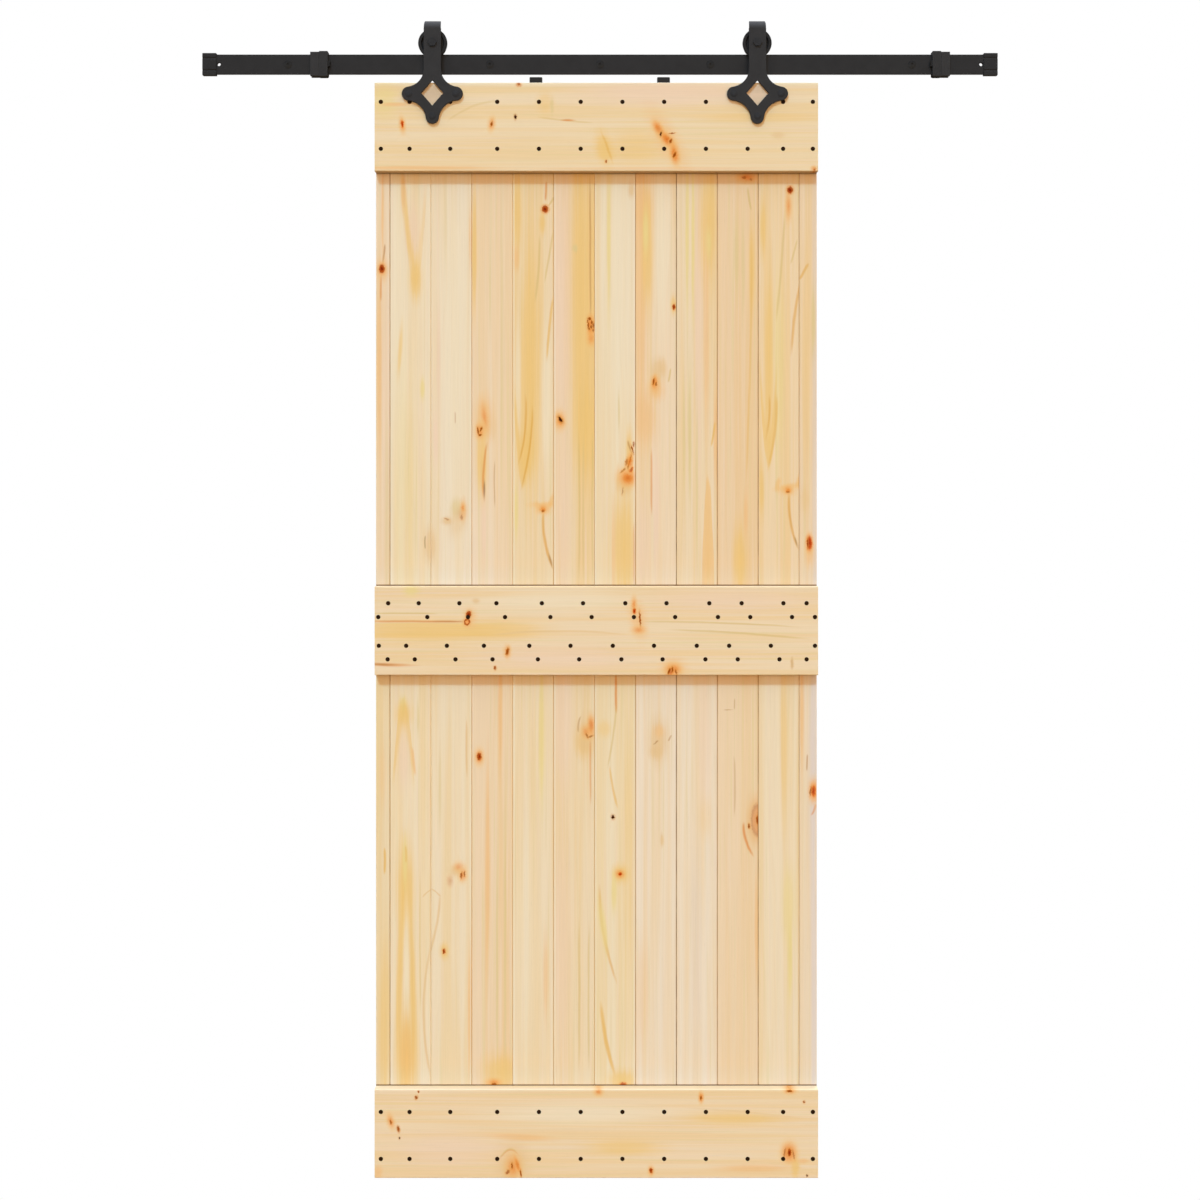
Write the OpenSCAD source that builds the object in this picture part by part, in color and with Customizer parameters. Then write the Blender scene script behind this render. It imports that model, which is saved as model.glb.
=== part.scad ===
// Sliding barn door on a flat steel rail: one boarded pine leaf with three
// battens, hung from two bent-strap roller hangers.
// Millimetres. +Z up, the front faces -Y, the plane y = 0 is the wall side.
// The origin is on the axis of the middle wall bolt, in the plane of the
// spacers' back ends.

/* [Leaf] */
// Width of the door leaf
leaf_w = 850; // [845:1:856]
// Height of the door leaf
leaf_h = 2100; // [1950:10:2200]
// Gap between the rail's lower edge and the leaf's top edge
leaf_gap = 18.5; // [16:0.5:21]
// Sideways place of the leaf's middle, from the middle of the rail
leaf_x = -7; // [-40:0.5:40]

/* [Boards] */
// Thickness of the upright boards
board_t = 18; // [18:0.5:20]
// Face width of one full upright board
board_pitch = 78.9; // [78.7:0.1:79.2]
// Face width of the ripped board at the left edge
first_w = 27; // [26:0.5:28]
// Width of the V at each board joint
v_w = 1.6; // [1:0.1:2.4]

/* [Battens] */
// Height of each batten
batten_h = 170; // [165:1:180]
// Thickness of the battens
batten_t = 18; // [18:0.5:18]
// Height of the middle batten's lower edge above the leaf's lower edge
mid_batten_up = 964; // [900:1:1000]
// Chamfer along the battens' front edges
batten_ch = 1.2; // [0.6:0.1:2]

/* [Batten screws] */
// Radius of the countersunk heads
screw_head_r = 4.2; // [3.8:0.1:4.4]
// Radius of the screws' shank
screw_r = 2; // [1.8:0.1:2.2]
// Length of the batten screws
screw_len = 33; // [30:1:34]

/* [Rail] */
// Length of the rail bar
rail_len = 1524; // [1500:1:1550]
// Height of the rail bar
rail_h = 38; // [37:0.5:38.5]
// Thickness of the rail bar
rail_t = 6; // [5.5:0.5:6]
// Distance from the wall to the rail's back face
rail_off = 30; // [29:0.5:31]
// Half distance between the two inner wall bolts
bolt_in = 212; // [205:1:220]
// Half distance between the two outer wall bolts
bolt_out = 600; // [590:1:605]
// Half distance between the open holes at the rail's ends
end_hole_x = 733; // [728:1:733]

/* [Hangers] */
// Width of the hanger straps
strap_w = 33; // [32:0.5:34]
// Thickness of the hanger straps
strap_t = 5; // [4:0.5:5]
// Place of the left hanger, from the middle of the leaf
hang_l = -314; // [-315:0.5:-305]
// Place of the right hanger, from the middle of the leaf
hang_r = 308.5; // [305:0.5:315]
// Reach of the plate's arms from its centre
star_reach = 58.5; // [57:0.5:60]

/* [Wheels] */
// Radius of the wheels' flanges
flange_r = 27.9; // [27.5:0.1:28.5]
// Height of the axles above the middle of the rail
axle_z = 39; // [38.5:0.5:40]
// Reach of a wheel's front flange, from the middle of the rail
wheel_front = 11.5; // [10:0.5:11.5]
// Reach of a wheel's rear flange, from the middle of the rail
wheel_rear = 8.5; // [8:0.5:10]

/* [Stops] */
// Place of the left stop's middle
stop_l = -539.5; // [-545:0.5:-530]
// Place of the right stop's middle
stop_r = 655; // [645:0.5:660]
// Half width of a stop with its bumper
stop_hw = 16.7; // [16:0.1:18]

/* [Hidden] */
$fn = 64;

// Depths, front to back
rail_yb = -rail_off;
rail_yf = rail_yb - rail_t;
rail_ym = (rail_yb + rail_yf) / 2;
board_yb = -10;
board_yf = board_yb - board_t;
batten_yf = board_yf - batten_t;
strap_yb = batten_yf;
strap_yf = strap_yb - strap_t;
bend_ri = rail_ym - strap_yb;
bend_ro = bend_ri + strap_t;
rear_yf = rail_ym + bend_ri;
rear_yb = rear_yf + strap_t;
rear_w = strap_w - 7;
stop_yf = -43;
stop_yb = -25;

// Heights
leaf_top = -rail_h / 2 - leaf_gap;
leaf_bot = leaf_top - leaf_h;
mid_bot = leaf_bot + mid_batten_up;
star_z = leaf_top - 22;
bend_z = 65;
tread_r = axle_z - rail_h / 2 - 0.3;

// Joints between the upright boards, from the leaf's middle
joints = [for (i = [0 : 10]) -leaf_w / 2 + first_w + i * board_pitch];
edges = concat([-leaf_w / 2], joints, [leaf_w / 2]);
joint_gap = 0.3;
tongue_h = 2.8;
groove_h = 3;
tongue_d = 5.6;
groove_d = 6;

// Screws of the top and bottom battens, from the leaf's middle
end_x = [-413, -358, -280, -190, -110, -30, 50, 130, 210, 290, 358, 415];
end_rows = [37, 127];
// Screws of the middle batten: a zigzag of four about one place on each
// full board, and a narrow one on each of the two edge boards
mid_x = [-344, -266, -195, -108, -29, 52, 131, 213, 275, 355];
mid_zig = [[3.5, 138], [20, 111.5], [-20.5, 56.5], [-4, 30.5]];
mid_edge = [[-399, 138], [-418, 111.5], [-417, 56.5], [-400, 30.5],
            [403, 138], [419, 111.5], [419, 56.5], [403, 30.5]];
top_screws = [for (x = end_x, r = end_rows) [x, leaf_top - r]];
bottom_screws = [for (x = end_x, r = end_rows) [x, leaf_bot + r]];
middle_screws = concat([for (x = mid_x, q = mid_zig) [x + q[0], mid_bot + q[1]]],
                       [for (q = mid_edge) [q[0], mid_bot + q[1]]]);
all_screws = concat(top_screws, middle_screws, bottom_screws);

// Hanger bolts, from the leaf's middle
tip_x = 45.25;
tip_z = 43;
hangers = [hang_l, hang_r];
hanger_pts = [for (h = hangers, p = [[-tip_x, 0], [tip_x, 0], [0, -tip_z]])
              [h + p[0], star_z + p[1]]];
nut_bore_y = board_yb - 8;

// Anti-jump discs
disc_x = [-116.3, 129.2];
disc_r = 12.4;
disc_flat = 6.5;
disc_h = 12;
disc_y = rail_ym;

// Wall bolts
wall_x = [-bolt_out, -bolt_in, 0, bolt_in, bolt_out];

wood_light = [0.88, 0.77, 0.62];
wood_warm = [0.85, 0.72, 0.55];
steel_black = [0.17, 0.17, 0.17];
rubber_black = [0.11, 0.11, 0.11];
screw_black = [0.12, 0.08, 0.06];
bare_steel = [0.62, 0.62, 0.63];

// Round bar along Y from y0 to y1
module ybar(x, z, y0, y1, r) {
  translate([x, y0, z]) rotate([-90, 0, 0]) cylinder(h = y1 - y0, r = r);
}

// Hexagonal bar along Y, r to its corners
module yhex(x, z, y0, y1, r) {
  translate([x, y0, z]) rotate([-90, 0, 0]) cylinder(h = y1 - y0, r = r, $fn = 6);
}

// Domed head that stands on the plane y = y0 and rises to -Y
module dome_head(x, z, y0, r, rim, rise) {
  sr = (r * r + rise * rise) / (2 * rise);
  translate([x, y0, z]) rotate([90, 0, 0]) {
    cylinder(h = rim, r = r);
    translate([0, 0, rim]) intersection() {
      cylinder(h = rise + 1, r = r);
      translate([0, 0, rise - sr]) sphere(r = sr);
    }
  }
}

// Flat outline in X and Z, t thick, its back face at y = yb
module plate(yb, t) {
  translate([0, yb, 0]) rotate([90, 0, 0]) linear_extrude(height = t) children();
}

// One upright board between two joints
module board(i) {
  x0 = edges[i] + (i == 0 ? 0 : joint_gap / 2);
  x1 = edges[i + 1] - (i == 11 ? 0 : joint_gap / 2);
  c = v_w / 2;
  ym = (board_yf + board_yb) / 2;
  left = i == 0 ? [] :
    [[x0, ym - groove_h], [x0 + groove_d, ym - groove_h],
     [x0 + groove_d, ym + groove_h], [x0, ym + groove_h]];
  right = i == 11 ? [] :
    [[x1, ym + tongue_h], [x1 + tongue_d, ym + tongue_h],
     [x1 + tongue_d, ym - tongue_h], [x1, ym - tongue_h]];
  outline = concat([[x0 + c, board_yf], [x0, board_yf + c]], left,
                   [[x0, board_yb - c], [x0 + c, board_yb],
                    [x1 - c, board_yb], [x1, board_yb - c]], right,
                   [[x1, board_yf + c], [x1 - c, board_yf]]);
  color(i % 3 == 1 ? wood_warm : wood_light)
  translate([leaf_x, 0, 0]) difference() {
    translate([0, 0, leaf_bot]) linear_extrude(height = leaf_h) polygon(outline);
    for (s = all_screws)
      if (s[0] > x0 - 3 && s[0] < x1 + tongue_d + 3)
        ybar(s[0], s[1], board_yf - 1, batten_yf + screw_len + 0.5, screw_r + 0.05);
    for (p = hanger_pts)
      if (p[0] > x0 - 9 && p[0] < x1 + tongue_d + 9) {
        ybar(p[0], p[1], board_yf - 1, board_yb + 1, 3.1);
        ybar(p[0], p[1], nut_bore_y, board_yb + 1, 7.6);
      }
  }
}

// One batten with countersunk screw holes
module batten(z0, screws) {
  c = batten_ch;
  difference() {
    translate([leaf_x - leaf_w / 2, 0, 0]) rotate([90, 0, 90])
      linear_extrude(height = leaf_w)
        polygon([[batten_yf + c, z0], [board_yf, z0], [board_yf, z0 + batten_h],
                 [batten_yf + c, z0 + batten_h], [batten_yf, z0 + batten_h - c],
                 [batten_yf, z0 + c]]);
    for (s = screws) {
      ybar(leaf_x + s[0], s[1], batten_yf - 1, board_yf + 1, screw_r + 0.05);
      translate([leaf_x + s[0], batten_yf, s[1]]) rotate([-90, 0, 0])
        cylinder(h = 3, r1 = screw_head_r + 0.05, r2 = screw_r + 0.05);
    }
    children();
  }
}

// Countersunk screws with a cross recess
module batten_screws(screws) {
  color(screw_black)
  for (s = screws)
    translate([leaf_x + s[0], batten_yf, s[1]]) rotate([-90, 0, 0]) difference() {
      union() {
        cylinder(h = 3, r1 = screw_head_r, r2 = screw_r);
        cylinder(h = screw_len - 4, r = screw_r);
        translate([0, 0, screw_len - 4]) cylinder(h = 4, r1 = screw_r, r2 = 0.4);
      }
      translate([-2, -0.45, -1]) cube([4, 0.9, 2.6]);
      translate([-0.45, -2, -1]) cube([0.9, 4, 2.6]);
    }
}

// Four-armed plate at the foot of a hanger: concave sides between round arms
module star_outline() {
  r = 34.5;
  difference() {
    union() {
      difference() {
        translate([-tip_x, -45.1]) square([2 * tip_x, 45.1 + 47.5]);
        for (sx = [-1, 1]) {
          translate([sx * (strap_w / 2 + r), 47.5]) circle(r = r);
          translate([sx * 50.3, -51.1]) circle(r = 38.2);
        }
      }
      for (sx = [-1, 1]) translate([sx * tip_x, 0]) circle(r = star_reach - tip_x);
      translate([0, -45.1]) circle(r = star_reach - 46);
    }
    translate([0, 1.1]) star_window();
  }
}

// Diamond window with slightly hollow sides
module star_window() {
  hw = 21.4;
  hh = 24.3;
  sag = 0.25;
  chord = sqrt(hw * hw + hh * hh);
  big = (chord * chord / 4 + sag * sag) / (2 * sag);
  difference() {
    polygon([[hw, 0], [0, hh], [-hw, 0], [0, -hh]]);
    for (sx = [-1, 1], sz = [-1, 1])
      translate([sx * (hw / 2 + (big - sag) * hh / chord),
                 sz * (hh / 2 + (big - sag) * hw / chord)]) circle(r = big);
  }
}

// Bent strap: plate on the leaf, front leg, bend over the wheel, narrower
// rear leg
module hanger_strap(hx) {
  x = leaf_x + hx;
  color(steel_black)
  difference() {
    translate([x, 0, 0]) union() {
      plate(strap_yb, strap_t) {
        translate([0, star_z]) star_outline();
        translate([-strap_w / 2, star_z + 47]) square([strap_w, bend_z - star_z - 47]);
      }
      intersection() {
        difference() {
          translate([-strap_w / 2, rail_ym, bend_z]) rotate([0, 90, 0])
            cylinder(h = strap_w, r = bend_ro, $fn = 96);
          translate([-strap_w, rail_ym, bend_z]) rotate([0, 90, 0])
            cylinder(h = 2 * strap_w, r = bend_ri, $fn = 96);
          translate([-strap_w, rail_ym - 40, bend_z - 40]) cube([2 * strap_w, 80, 40]);
        }
        translate([0, 0, bend_z - 1]) linear_extrude(height = bend_ro + 2)
          polygon([[-strap_w / 2, strap_yf - 1], [strap_w / 2, strap_yf - 1],
                   [strap_w / 2 - 1.8, rail_ym], [rear_w / 2, rear_yf], [rear_w / 2, rear_yb + 1],
                   [-rear_w / 2, rear_yb + 1], [-rear_w / 2, rear_yf], [1.8 - strap_w / 2, rail_ym]]);
      }
      plate(rear_yb, strap_t) {
        translate([-rear_w / 2, axle_z]) square([rear_w, bend_z - axle_z]);
        translate([0, axle_z]) circle(r = rear_w / 2);
      }
    }
    ybar(x, axle_z, strap_yf - 1, rear_yb + 1, 4.1);
    for (p = [[-tip_x, 0], [tip_x, 0], [0, -tip_z]])
      ybar(x + p[0], star_z + p[1], strap_yf - 1, strap_yb + 1, 3.1);
  }
}

module hanger_bolts() {
  color(steel_black)
  for (p = hanger_pts) {
    dome_head(leaf_x + p[0], p[1], strap_yf, 7.2, 0.3, 1.1);
    ybar(leaf_x + p[0], p[1], strap_yf, board_yb - 0.8, 3);
  }
}

module hanger_washers() {
  color(bare_steel)
  for (p = hanger_pts) difference() {
    ybar(leaf_x + p[0], p[1], nut_bore_y, nut_bore_y + 1.5, 7.2);
    ybar(leaf_x + p[0], p[1], nut_bore_y - 1, nut_bore_y + 2, 3.1);
  }
}

module hanger_nuts() {
  color(bare_steel)
  for (p = hanger_pts) difference() {
    yhex(leaf_x + p[0], p[1], nut_bore_y + 1.5, nut_bore_y + 6.5, 5.77);
    ybar(leaf_x + p[0], p[1], nut_bore_y, nut_bore_y + 8, 3.05);
  }
}

module axle_bolts() {
  color(steel_black)
  for (h = hangers) {
    yhex(leaf_x + h, axle_z, strap_yf - 2.8, strap_yf, 8.7);
    ybar(leaf_x + h, axle_z, strap_yf - 1, rear_yb + 8, 4);
  }
}

module axle_spacers() {
  color(bare_steel)
  for (h = hangers, s = [[strap_yb, rail_ym - 3.5], [rail_ym + 3.5, rear_yf]])
    difference() {
      ybar(leaf_x + h, axle_z, s[0], s[1], 5.6);
      ybar(leaf_x + h, axle_z, s[0] - 1, s[1] + 1, 4.05);
    }
}

module axle_nuts() {
  color(steel_black)
  for (h = hangers) difference() {
    yhex(leaf_x + h, axle_z, rear_yb, rear_yb + 6.5, 7.5);
    ybar(leaf_x + h, axle_z, rear_yb - 1, rear_yb + 8, 4.05);
  }
}

// Half section of a wheel from its hub out to its tread, r the flange's
// radius and w its reach
function wheel_half(r, w) =
  [[9.3, w - 2], [13, w - 2], [14.6, w - 3.6], [20.4, w - 3.6], [22, w],
   [r - 1, w], [r, w - 1], [r, 6.2], [r - 0.8, 5.2], [tread_r, 4]];

// Grooved wheel, turned about the axle, with a lower flange at the rear
module wheel(hx) {
  front = wheel_half(flange_r, wheel_front);
  rear = wheel_half(flange_r - 2.4, wheel_rear);
  outline = concat([for (p = front) [p[0], -p[1]]],
                   [for (i = [len(rear) - 1 : -1 : 0]) rear[i]],
                   [[9.3, 3.5], [11.05, 3.5], [11.05, -3.5], [9.3, -3.5]]);
  color(rubber_black)
  translate([leaf_x + hx, rail_ym, axle_z]) rotate([-90, 0, 0])
    rotate_extrude($fn = 96) polygon(outline);
}

module bearing_outer(hx) {
  x = leaf_x + hx;
  color(bare_steel) difference() {
    ybar(x, axle_z, rail_ym - 3.5, rail_ym + 3.5, 11);
    ybar(x, axle_z, rail_ym - 5, rail_ym + 5, 9.9);
  }
}

module bearing_inner(hx) {
  x = leaf_x + hx;
  color(bare_steel) difference() {
    ybar(x, axle_z, rail_ym - 3.5, rail_ym + 3.5, 5.6);
    ybar(x, axle_z, rail_ym - 5, rail_ym + 5, 4.05);
  }
}

module bearing_balls(hx) {
  color(bare_steel)
  for (a = [0 : 45 : 315])
    translate([leaf_x + hx + 7.9 * cos(a), rail_ym, axle_z + 7.9 * sin(a)])
      sphere(r = 1.9);
}

// Disc with a flat at its front and back
module anti_jump_disc(dx) {
  color(rubber_black)
  translate([leaf_x + dx, disc_y, leaf_top]) difference() {
    union() {
      intersection() {
        cylinder(h = disc_h, r = disc_r);
        translate([-20, -disc_flat, -1]) cube([40, 2 * disc_flat, disc_h + 2]);
      }
    }
    translate([0, 0, -1]) cylinder(h = disc_h + 2, r = screw_r + 0.3);
    translate([0, 0, disc_h - 3]) cylinder(h = 3, r1 = screw_r + 0.3, r2 = screw_head_r + 0.3);
  }
}

module anti_jump_screws() {
  color(screw_black)
  for (dx = disc_x)
    translate([leaf_x + dx, disc_y, leaf_top + disc_h]) rotate([180, 0, 0]) difference() {
      union() {
        cylinder(h = 3, r1 = screw_head_r, r2 = screw_r);
        cylinder(h = 36, r = screw_r);
        translate([0, 0, 36]) cylinder(h = 4, r1 = screw_r, r2 = 0.4);
      }
      translate([-2, -0.45, -1]) cube([4, 0.9, 2.6]);
      translate([-0.45, -2, -1]) cube([0.9, 4, 2.6]);
    }
}

module rail_bar() {
  color(steel_black) difference() {
    translate([-rail_len / 2, rail_yf, -rail_h / 2]) cube([rail_len, rail_t, rail_h]);
    for (x = wall_x) ybar(x, 0, rail_yf - 1, rail_yb + 1, 4.3);
    for (s = [-1, 1]) ybar(s * end_hole_x, 0, rail_yf - 1, rail_yb + 1, 3.2);
  }
}

// Cap over one end of the rail, with two grooves along each face
module end_cap(s) {
  hh = 21.4;
  x0 = rail_len / 2 - 24;
  x1 = rail_len / 2 + 2.6;
  yf = rail_yf - 1.8;
  yb = rail_yb + 1.8;
  color(rubber_black) mirror([s < 0 ? 1 : 0, 0, 0]) difference() {
    plate(yb, yb - yf)
      polygon([[x0, -hh], [x1 - 0.6, -hh], [x1, -hh + 0.6], [x1, hh - 0.6],
               [x1 - 0.6, hh], [x0, hh]]);
    translate([x0 - 1, rail_yf - 0.05, -rail_h / 2 - 0.05])
      cube([rail_len / 2 + 0.1 - x0 + 1, rail_t + 0.1, rail_h + 0.1]);
    for (y = [yf, yb], z = [-11.7, 11.7])
      translate([x0 - 1, y - 0.8, z - 1.7]) cube([x1 - x0 + 2, 1.6, 3.4]);
  }
}

// Saddle over the rail, open at its foot, with two grub screws at its back
module stop_clamp(x, s) {
  xa = s < 0 ? x - stop_hw : x;
  color(steel_black) difference() {
    translate([xa, stop_yf, -23.6]) cube([stop_hw, stop_yb - stop_yf, 46.1]);
    translate([xa - 1, rail_yf - 0.05, -30])
      cube([stop_hw + 2, rail_t + 0.1, rail_h / 2 + 30.05]);
    for (z = [-9, 9]) ybar(xa + stop_hw / 2, z, rail_yb - 1, -20, 2.55);
  }
}

// Rubber block beside the saddle, with a nose towards the leaf
module stop_bumper(x, s) {
  color(rubber_black) translate([x, 0, 0]) mirror([s < 0 ? 0 : 1, 0, 0]) difference() {
    union() {
      plate(stop_yb, stop_yb - stop_yf)
        polygon([[0, -24.2], [stop_hw - 3, -24.2], [stop_hw - 0.9, -23.3], [stop_hw, -21.2], [stop_hw, 23.6],
                 [stop_hw - 0.4, 24], [1.2, 24], [0, 23]]);
      translate([stop_hw - 1, stop_yf + 1, -5.5]) cube([5.2, stop_yb - stop_yf - 2, 11]);
    }
    translate([-1, rail_yf - 0.05, -30])
      cube([stop_hw + 10, rail_t + 0.1, rail_h / 2 + 30.05]);
  }
}

module stop_screws() {
  color(screw_black)
  for (x = [stop_l - stop_hw / 2, stop_r + stop_hw / 2], z = [-9, 9]) difference() {
    ybar(x, z, rail_yb, stop_yb - 0.4, 2.5);
    yhex(x, z, stop_yb - 3, -20, 1.44);
  }
}

module wall_spacer(x) {
  color(steel_black) difference() {
    ybar(x, 0, rail_yb, 0, 9);
    ybar(x, 0, rail_yb - 1, 1, 4.3);
  }
}

// Button-headed wall bolts: hexagon socket, plain shank through the spacer,
// thinner screwed end behind the wall plane
module wall_bolts() {
  color(steel_black)
  for (x = wall_x) {
    difference() {
      dome_head(x, 0, rail_yf, 7.6, 0.5, 1.7);
      yhex(x, 0, rail_yf - 5, rail_yf - 0.9, 2.4);
    }
    ybar(x, 0, rail_yf, 0, 4);
    ybar(x, 0, -1, 22, 3.6);
    translate([x, 22, 0]) rotate([-90, 0, 0]) cylinder(h = 2, r1 = 3.6, r2 = 1.8);
  }
}

module top_batten() {
  color(wood_warm) batten(leaf_top - batten_h, top_screws) {
    for (p = hanger_pts) ybar(leaf_x + p[0], p[1], batten_yf - 1, board_yf + 1, 3.1);
    for (dx = disc_x) translate([leaf_x + dx, disc_y, leaf_top - 32])
      cylinder(h = 33, r = screw_r + 0.05);
  }
}

module middle_batten() {
  color(wood_light) batten(mid_bot, middle_screws);
}

module bottom_batten() {
  color(wood_warm) batten(leaf_bot, bottom_screws);
}

board(0);  // board_01
board(1);  // board_02
board(2);  // board_03
board(3);  // board_04
board(4);  // board_05
board(5);  // board_06
board(6);  // board_07
board(7);  // board_08
board(8);  // board_09
board(9);  // board_10
board(10);  // board_11
board(11);  // board_12
top_batten();
middle_batten();
bottom_batten();
batten_screws(top_screws);  // top_batten_screws
batten_screws(middle_screws);  // middle_batten_screws
batten_screws(bottom_screws);  // bottom_batten_screws
hanger_strap(hang_l);  // hanger_strap_left
hanger_strap(hang_r);  // hanger_strap_right
hanger_bolts();
hanger_washers();
hanger_nuts();
axle_bolts();
axle_spacers();
axle_nuts();
wheel(hang_l);  // wheel_left
wheel(hang_r);  // wheel_right
bearing_outer(hang_l);  // bearing_outer_left
bearing_outer(hang_r);  // bearing_outer_right
bearing_balls(hang_l);  // bearing_balls_left
bearing_balls(hang_r);  // bearing_balls_right
bearing_inner(hang_l);  // bearing_inner_left
bearing_inner(hang_r);  // bearing_inner_right
anti_jump_disc(disc_x[0]);  // anti_jump_disc_left
anti_jump_disc(disc_x[1]);  // anti_jump_disc_right
anti_jump_screws();
rail_bar();
end_cap(-1);  // end_cap_left
end_cap(1);  // end_cap_right
stop_clamp(stop_l, -1);  // stop_clamp_left
stop_clamp(stop_r, 1);  // stop_clamp_right
stop_bumper(stop_l, -1);  // stop_bumper_left
stop_bumper(stop_r, 1);  // stop_bumper_right
stop_screws();
wall_spacer(wall_x[0]);  // wall_spacer_1
wall_spacer(wall_x[1]);  // wall_spacer_2
wall_spacer(wall_x[2]);  // wall_spacer_3
wall_spacer(wall_x[3]);  // wall_spacer_4
wall_spacer(wall_x[4]);  // wall_spacer_5
wall_bolts();
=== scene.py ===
import math

import bmesh
import bpy
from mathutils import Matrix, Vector


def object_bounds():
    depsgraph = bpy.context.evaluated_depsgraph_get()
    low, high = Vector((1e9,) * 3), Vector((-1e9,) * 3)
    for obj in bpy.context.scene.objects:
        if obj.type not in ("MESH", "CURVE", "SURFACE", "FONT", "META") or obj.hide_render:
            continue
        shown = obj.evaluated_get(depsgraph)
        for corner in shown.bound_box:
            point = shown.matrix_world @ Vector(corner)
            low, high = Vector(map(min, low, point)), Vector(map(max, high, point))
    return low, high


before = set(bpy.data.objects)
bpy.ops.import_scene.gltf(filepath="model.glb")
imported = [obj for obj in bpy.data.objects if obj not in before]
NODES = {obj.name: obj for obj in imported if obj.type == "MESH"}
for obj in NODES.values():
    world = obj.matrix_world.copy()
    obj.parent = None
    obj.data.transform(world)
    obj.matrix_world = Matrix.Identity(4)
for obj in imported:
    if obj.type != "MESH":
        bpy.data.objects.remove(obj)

CAD_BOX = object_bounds()
scene = bpy.context.scene

# ---------------------------------------------------------------------------
# The view: a level camera in front of the leaf, a little above its middle.
# One pixel of the 1200 x 1200 frame is MM_PER_PX in the plane of the battens'
# front faces, and the optical axis meets the frame at (600, 450).
# ---------------------------------------------------------------------------
EYE = Vector((0.0, -2.926, -0.7418))
MM_PER_PX = 1.9167
BATTEN_PLANE = 2880.0
BOARD_PLANE = 2898.0

camera = bpy.data.objects.new("camera", bpy.data.cameras.new("camera"))
camera.data.lens = 45.08
camera.data.sensor_width = 36.0
camera.data.shift_y = -0.125
camera.data.clip_start = 0.05
camera.data.clip_end = 60.0
camera.location = EYE
camera.rotation_euler = (math.radians(90), 0, 0)
scene.collection.objects.link(camera)
scene.camera = camera

scene.view_settings.view_transform = "Standard"
scene.view_settings.look = "None"
scene.view_settings.exposure = 0.0
scene.view_settings.gamma = 1.0


def mm_x(px, plane):
    return (px - 600.0) * MM_PER_PX * plane / BATTEN_PLANE


def mm_z(py, plane):
    return (450.0 - py) * MM_PER_PX * plane / BATTEN_PLANE + EYE.z * 1000


# ---------------------------------------------------------------------------
# Light: surroundings that are bright above and dim below, a cool key from the
# upper left, a warm fill from the front, a top light, and lights for the back
# and the sides.
# ---------------------------------------------------------------------------
FRONT = Vector((0, -1, 0))


def sun(name, towards, face, light_on_face, angle, glossy=False, bounces=8):
    """A distant lamp that adds light_on_face to a white surface facing `face`."""
    towards = Vector(towards).normalized()
    top = max(light_on_face)
    lamp = bpy.data.lights.new(name, "SUN")
    lamp.energy = top * math.pi / towards.dot(face)
    lamp.color = [c / top for c in light_on_face]
    lamp.angle = math.radians(angle)
    ob = bpy.data.objects.new(name, lamp)
    ob.rotation_euler = towards.to_track_quat("Z", "Y").to_euler()
    ob.location = towards * 6
    ob.visible_glossy = glossy
    lamp.cycles.max_bounces = bounces
    scene.collection.objects.link(ob)
    return ob


sun("key", (-0.36, -1.0, 1.29), FRONT, (0.129, 0.311, 0.470), 7, bounces=0)
sun("front_fill", (0.30, -1.0, 0.05), FRONT, (0.396, 0.25, 0.113), 60)
sun("top", (-0.05, -0.10, 1.0), Vector((0, 0, 1)), (0.48, 0.49, 0.55), 80, glossy=True, bounces=0)
sun("back", (0.45, 1.0, 0.7), Vector((0, 1, 0)), (0.50, 0.50, 0.50), 25)
sun("side_left", (-1.0, 0.05, 0.2), Vector((-1, 0, 0)), (0.28, 0.26, 0.24), 30)
sun("side_right", (1.0, 0.05, 0.2), Vector((1, 0, 0)), (0.22, 0.22, 0.22), 30)

world = bpy.data.worlds.new("studio")
world.use_nodes = True
scene.world = world
wt = world.node_tree
wt.nodes.clear()
w_out = wt.nodes.new("ShaderNodeOutputWorld")
w_mix = wt.nodes.new("ShaderNodeMixShader")
w_path = wt.nodes.new("ShaderNodeLightPath")
w_fill = wt.nodes.new("ShaderNodeBackground")
w_seen = wt.nodes.new("ShaderNodeBackground")
w_dir = wt.nodes.new("ShaderNodeTexCoord")
w_xyz = wt.nodes.new("ShaderNodeSeparateXYZ")
w_up = wt.nodes.new("ShaderNodeMapRange")
w_ramp = wt.nodes.new("ShaderNodeValToRGB")
w_up.inputs[1].default_value = -0.35
w_up.inputs[2].default_value = 0.35
w_ramp.color_ramp.elements[0].color = (0.20, 0.15, 0.10, 1)
w_ramp.color_ramp.elements[1].color = (0.54, 0.54, 0.54, 1)
w_seen.inputs["Color"].default_value = (1, 1, 1, 1)
w_seen.inputs["Strength"].default_value = 1.0
wt.links.new(w_dir.outputs["Generated"], w_xyz.inputs[0])
wt.links.new(w_xyz.outputs[2], w_up.inputs[0])
wt.links.new(w_up.outputs[0], w_ramp.inputs[0])
wt.links.new(w_ramp.outputs[0], w_fill.inputs["Color"])
wt.links.new(w_path.outputs["Is Camera Ray"], w_mix.inputs[0])
wt.links.new(w_fill.outputs[0], w_mix.inputs[1])
wt.links.new(w_seen.outputs[0], w_mix.inputs[2])
wt.links.new(w_mix.outputs[0], w_out.inputs["Surface"])


# ---------------------------------------------------------------------------
# Node helpers
# ---------------------------------------------------------------------------
def lin(r, g, b):
    """sRGB 0-255 to a linear colour."""
    out = []
    for c in (r, g, b):
        c = min(max(c, 0.0), 255.0) / 255.0
        out.append(c / 12.92 if c <= 0.04045 else ((c + 0.055) / 1.055) ** 2.4)
    return (*out, 1.0)


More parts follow.
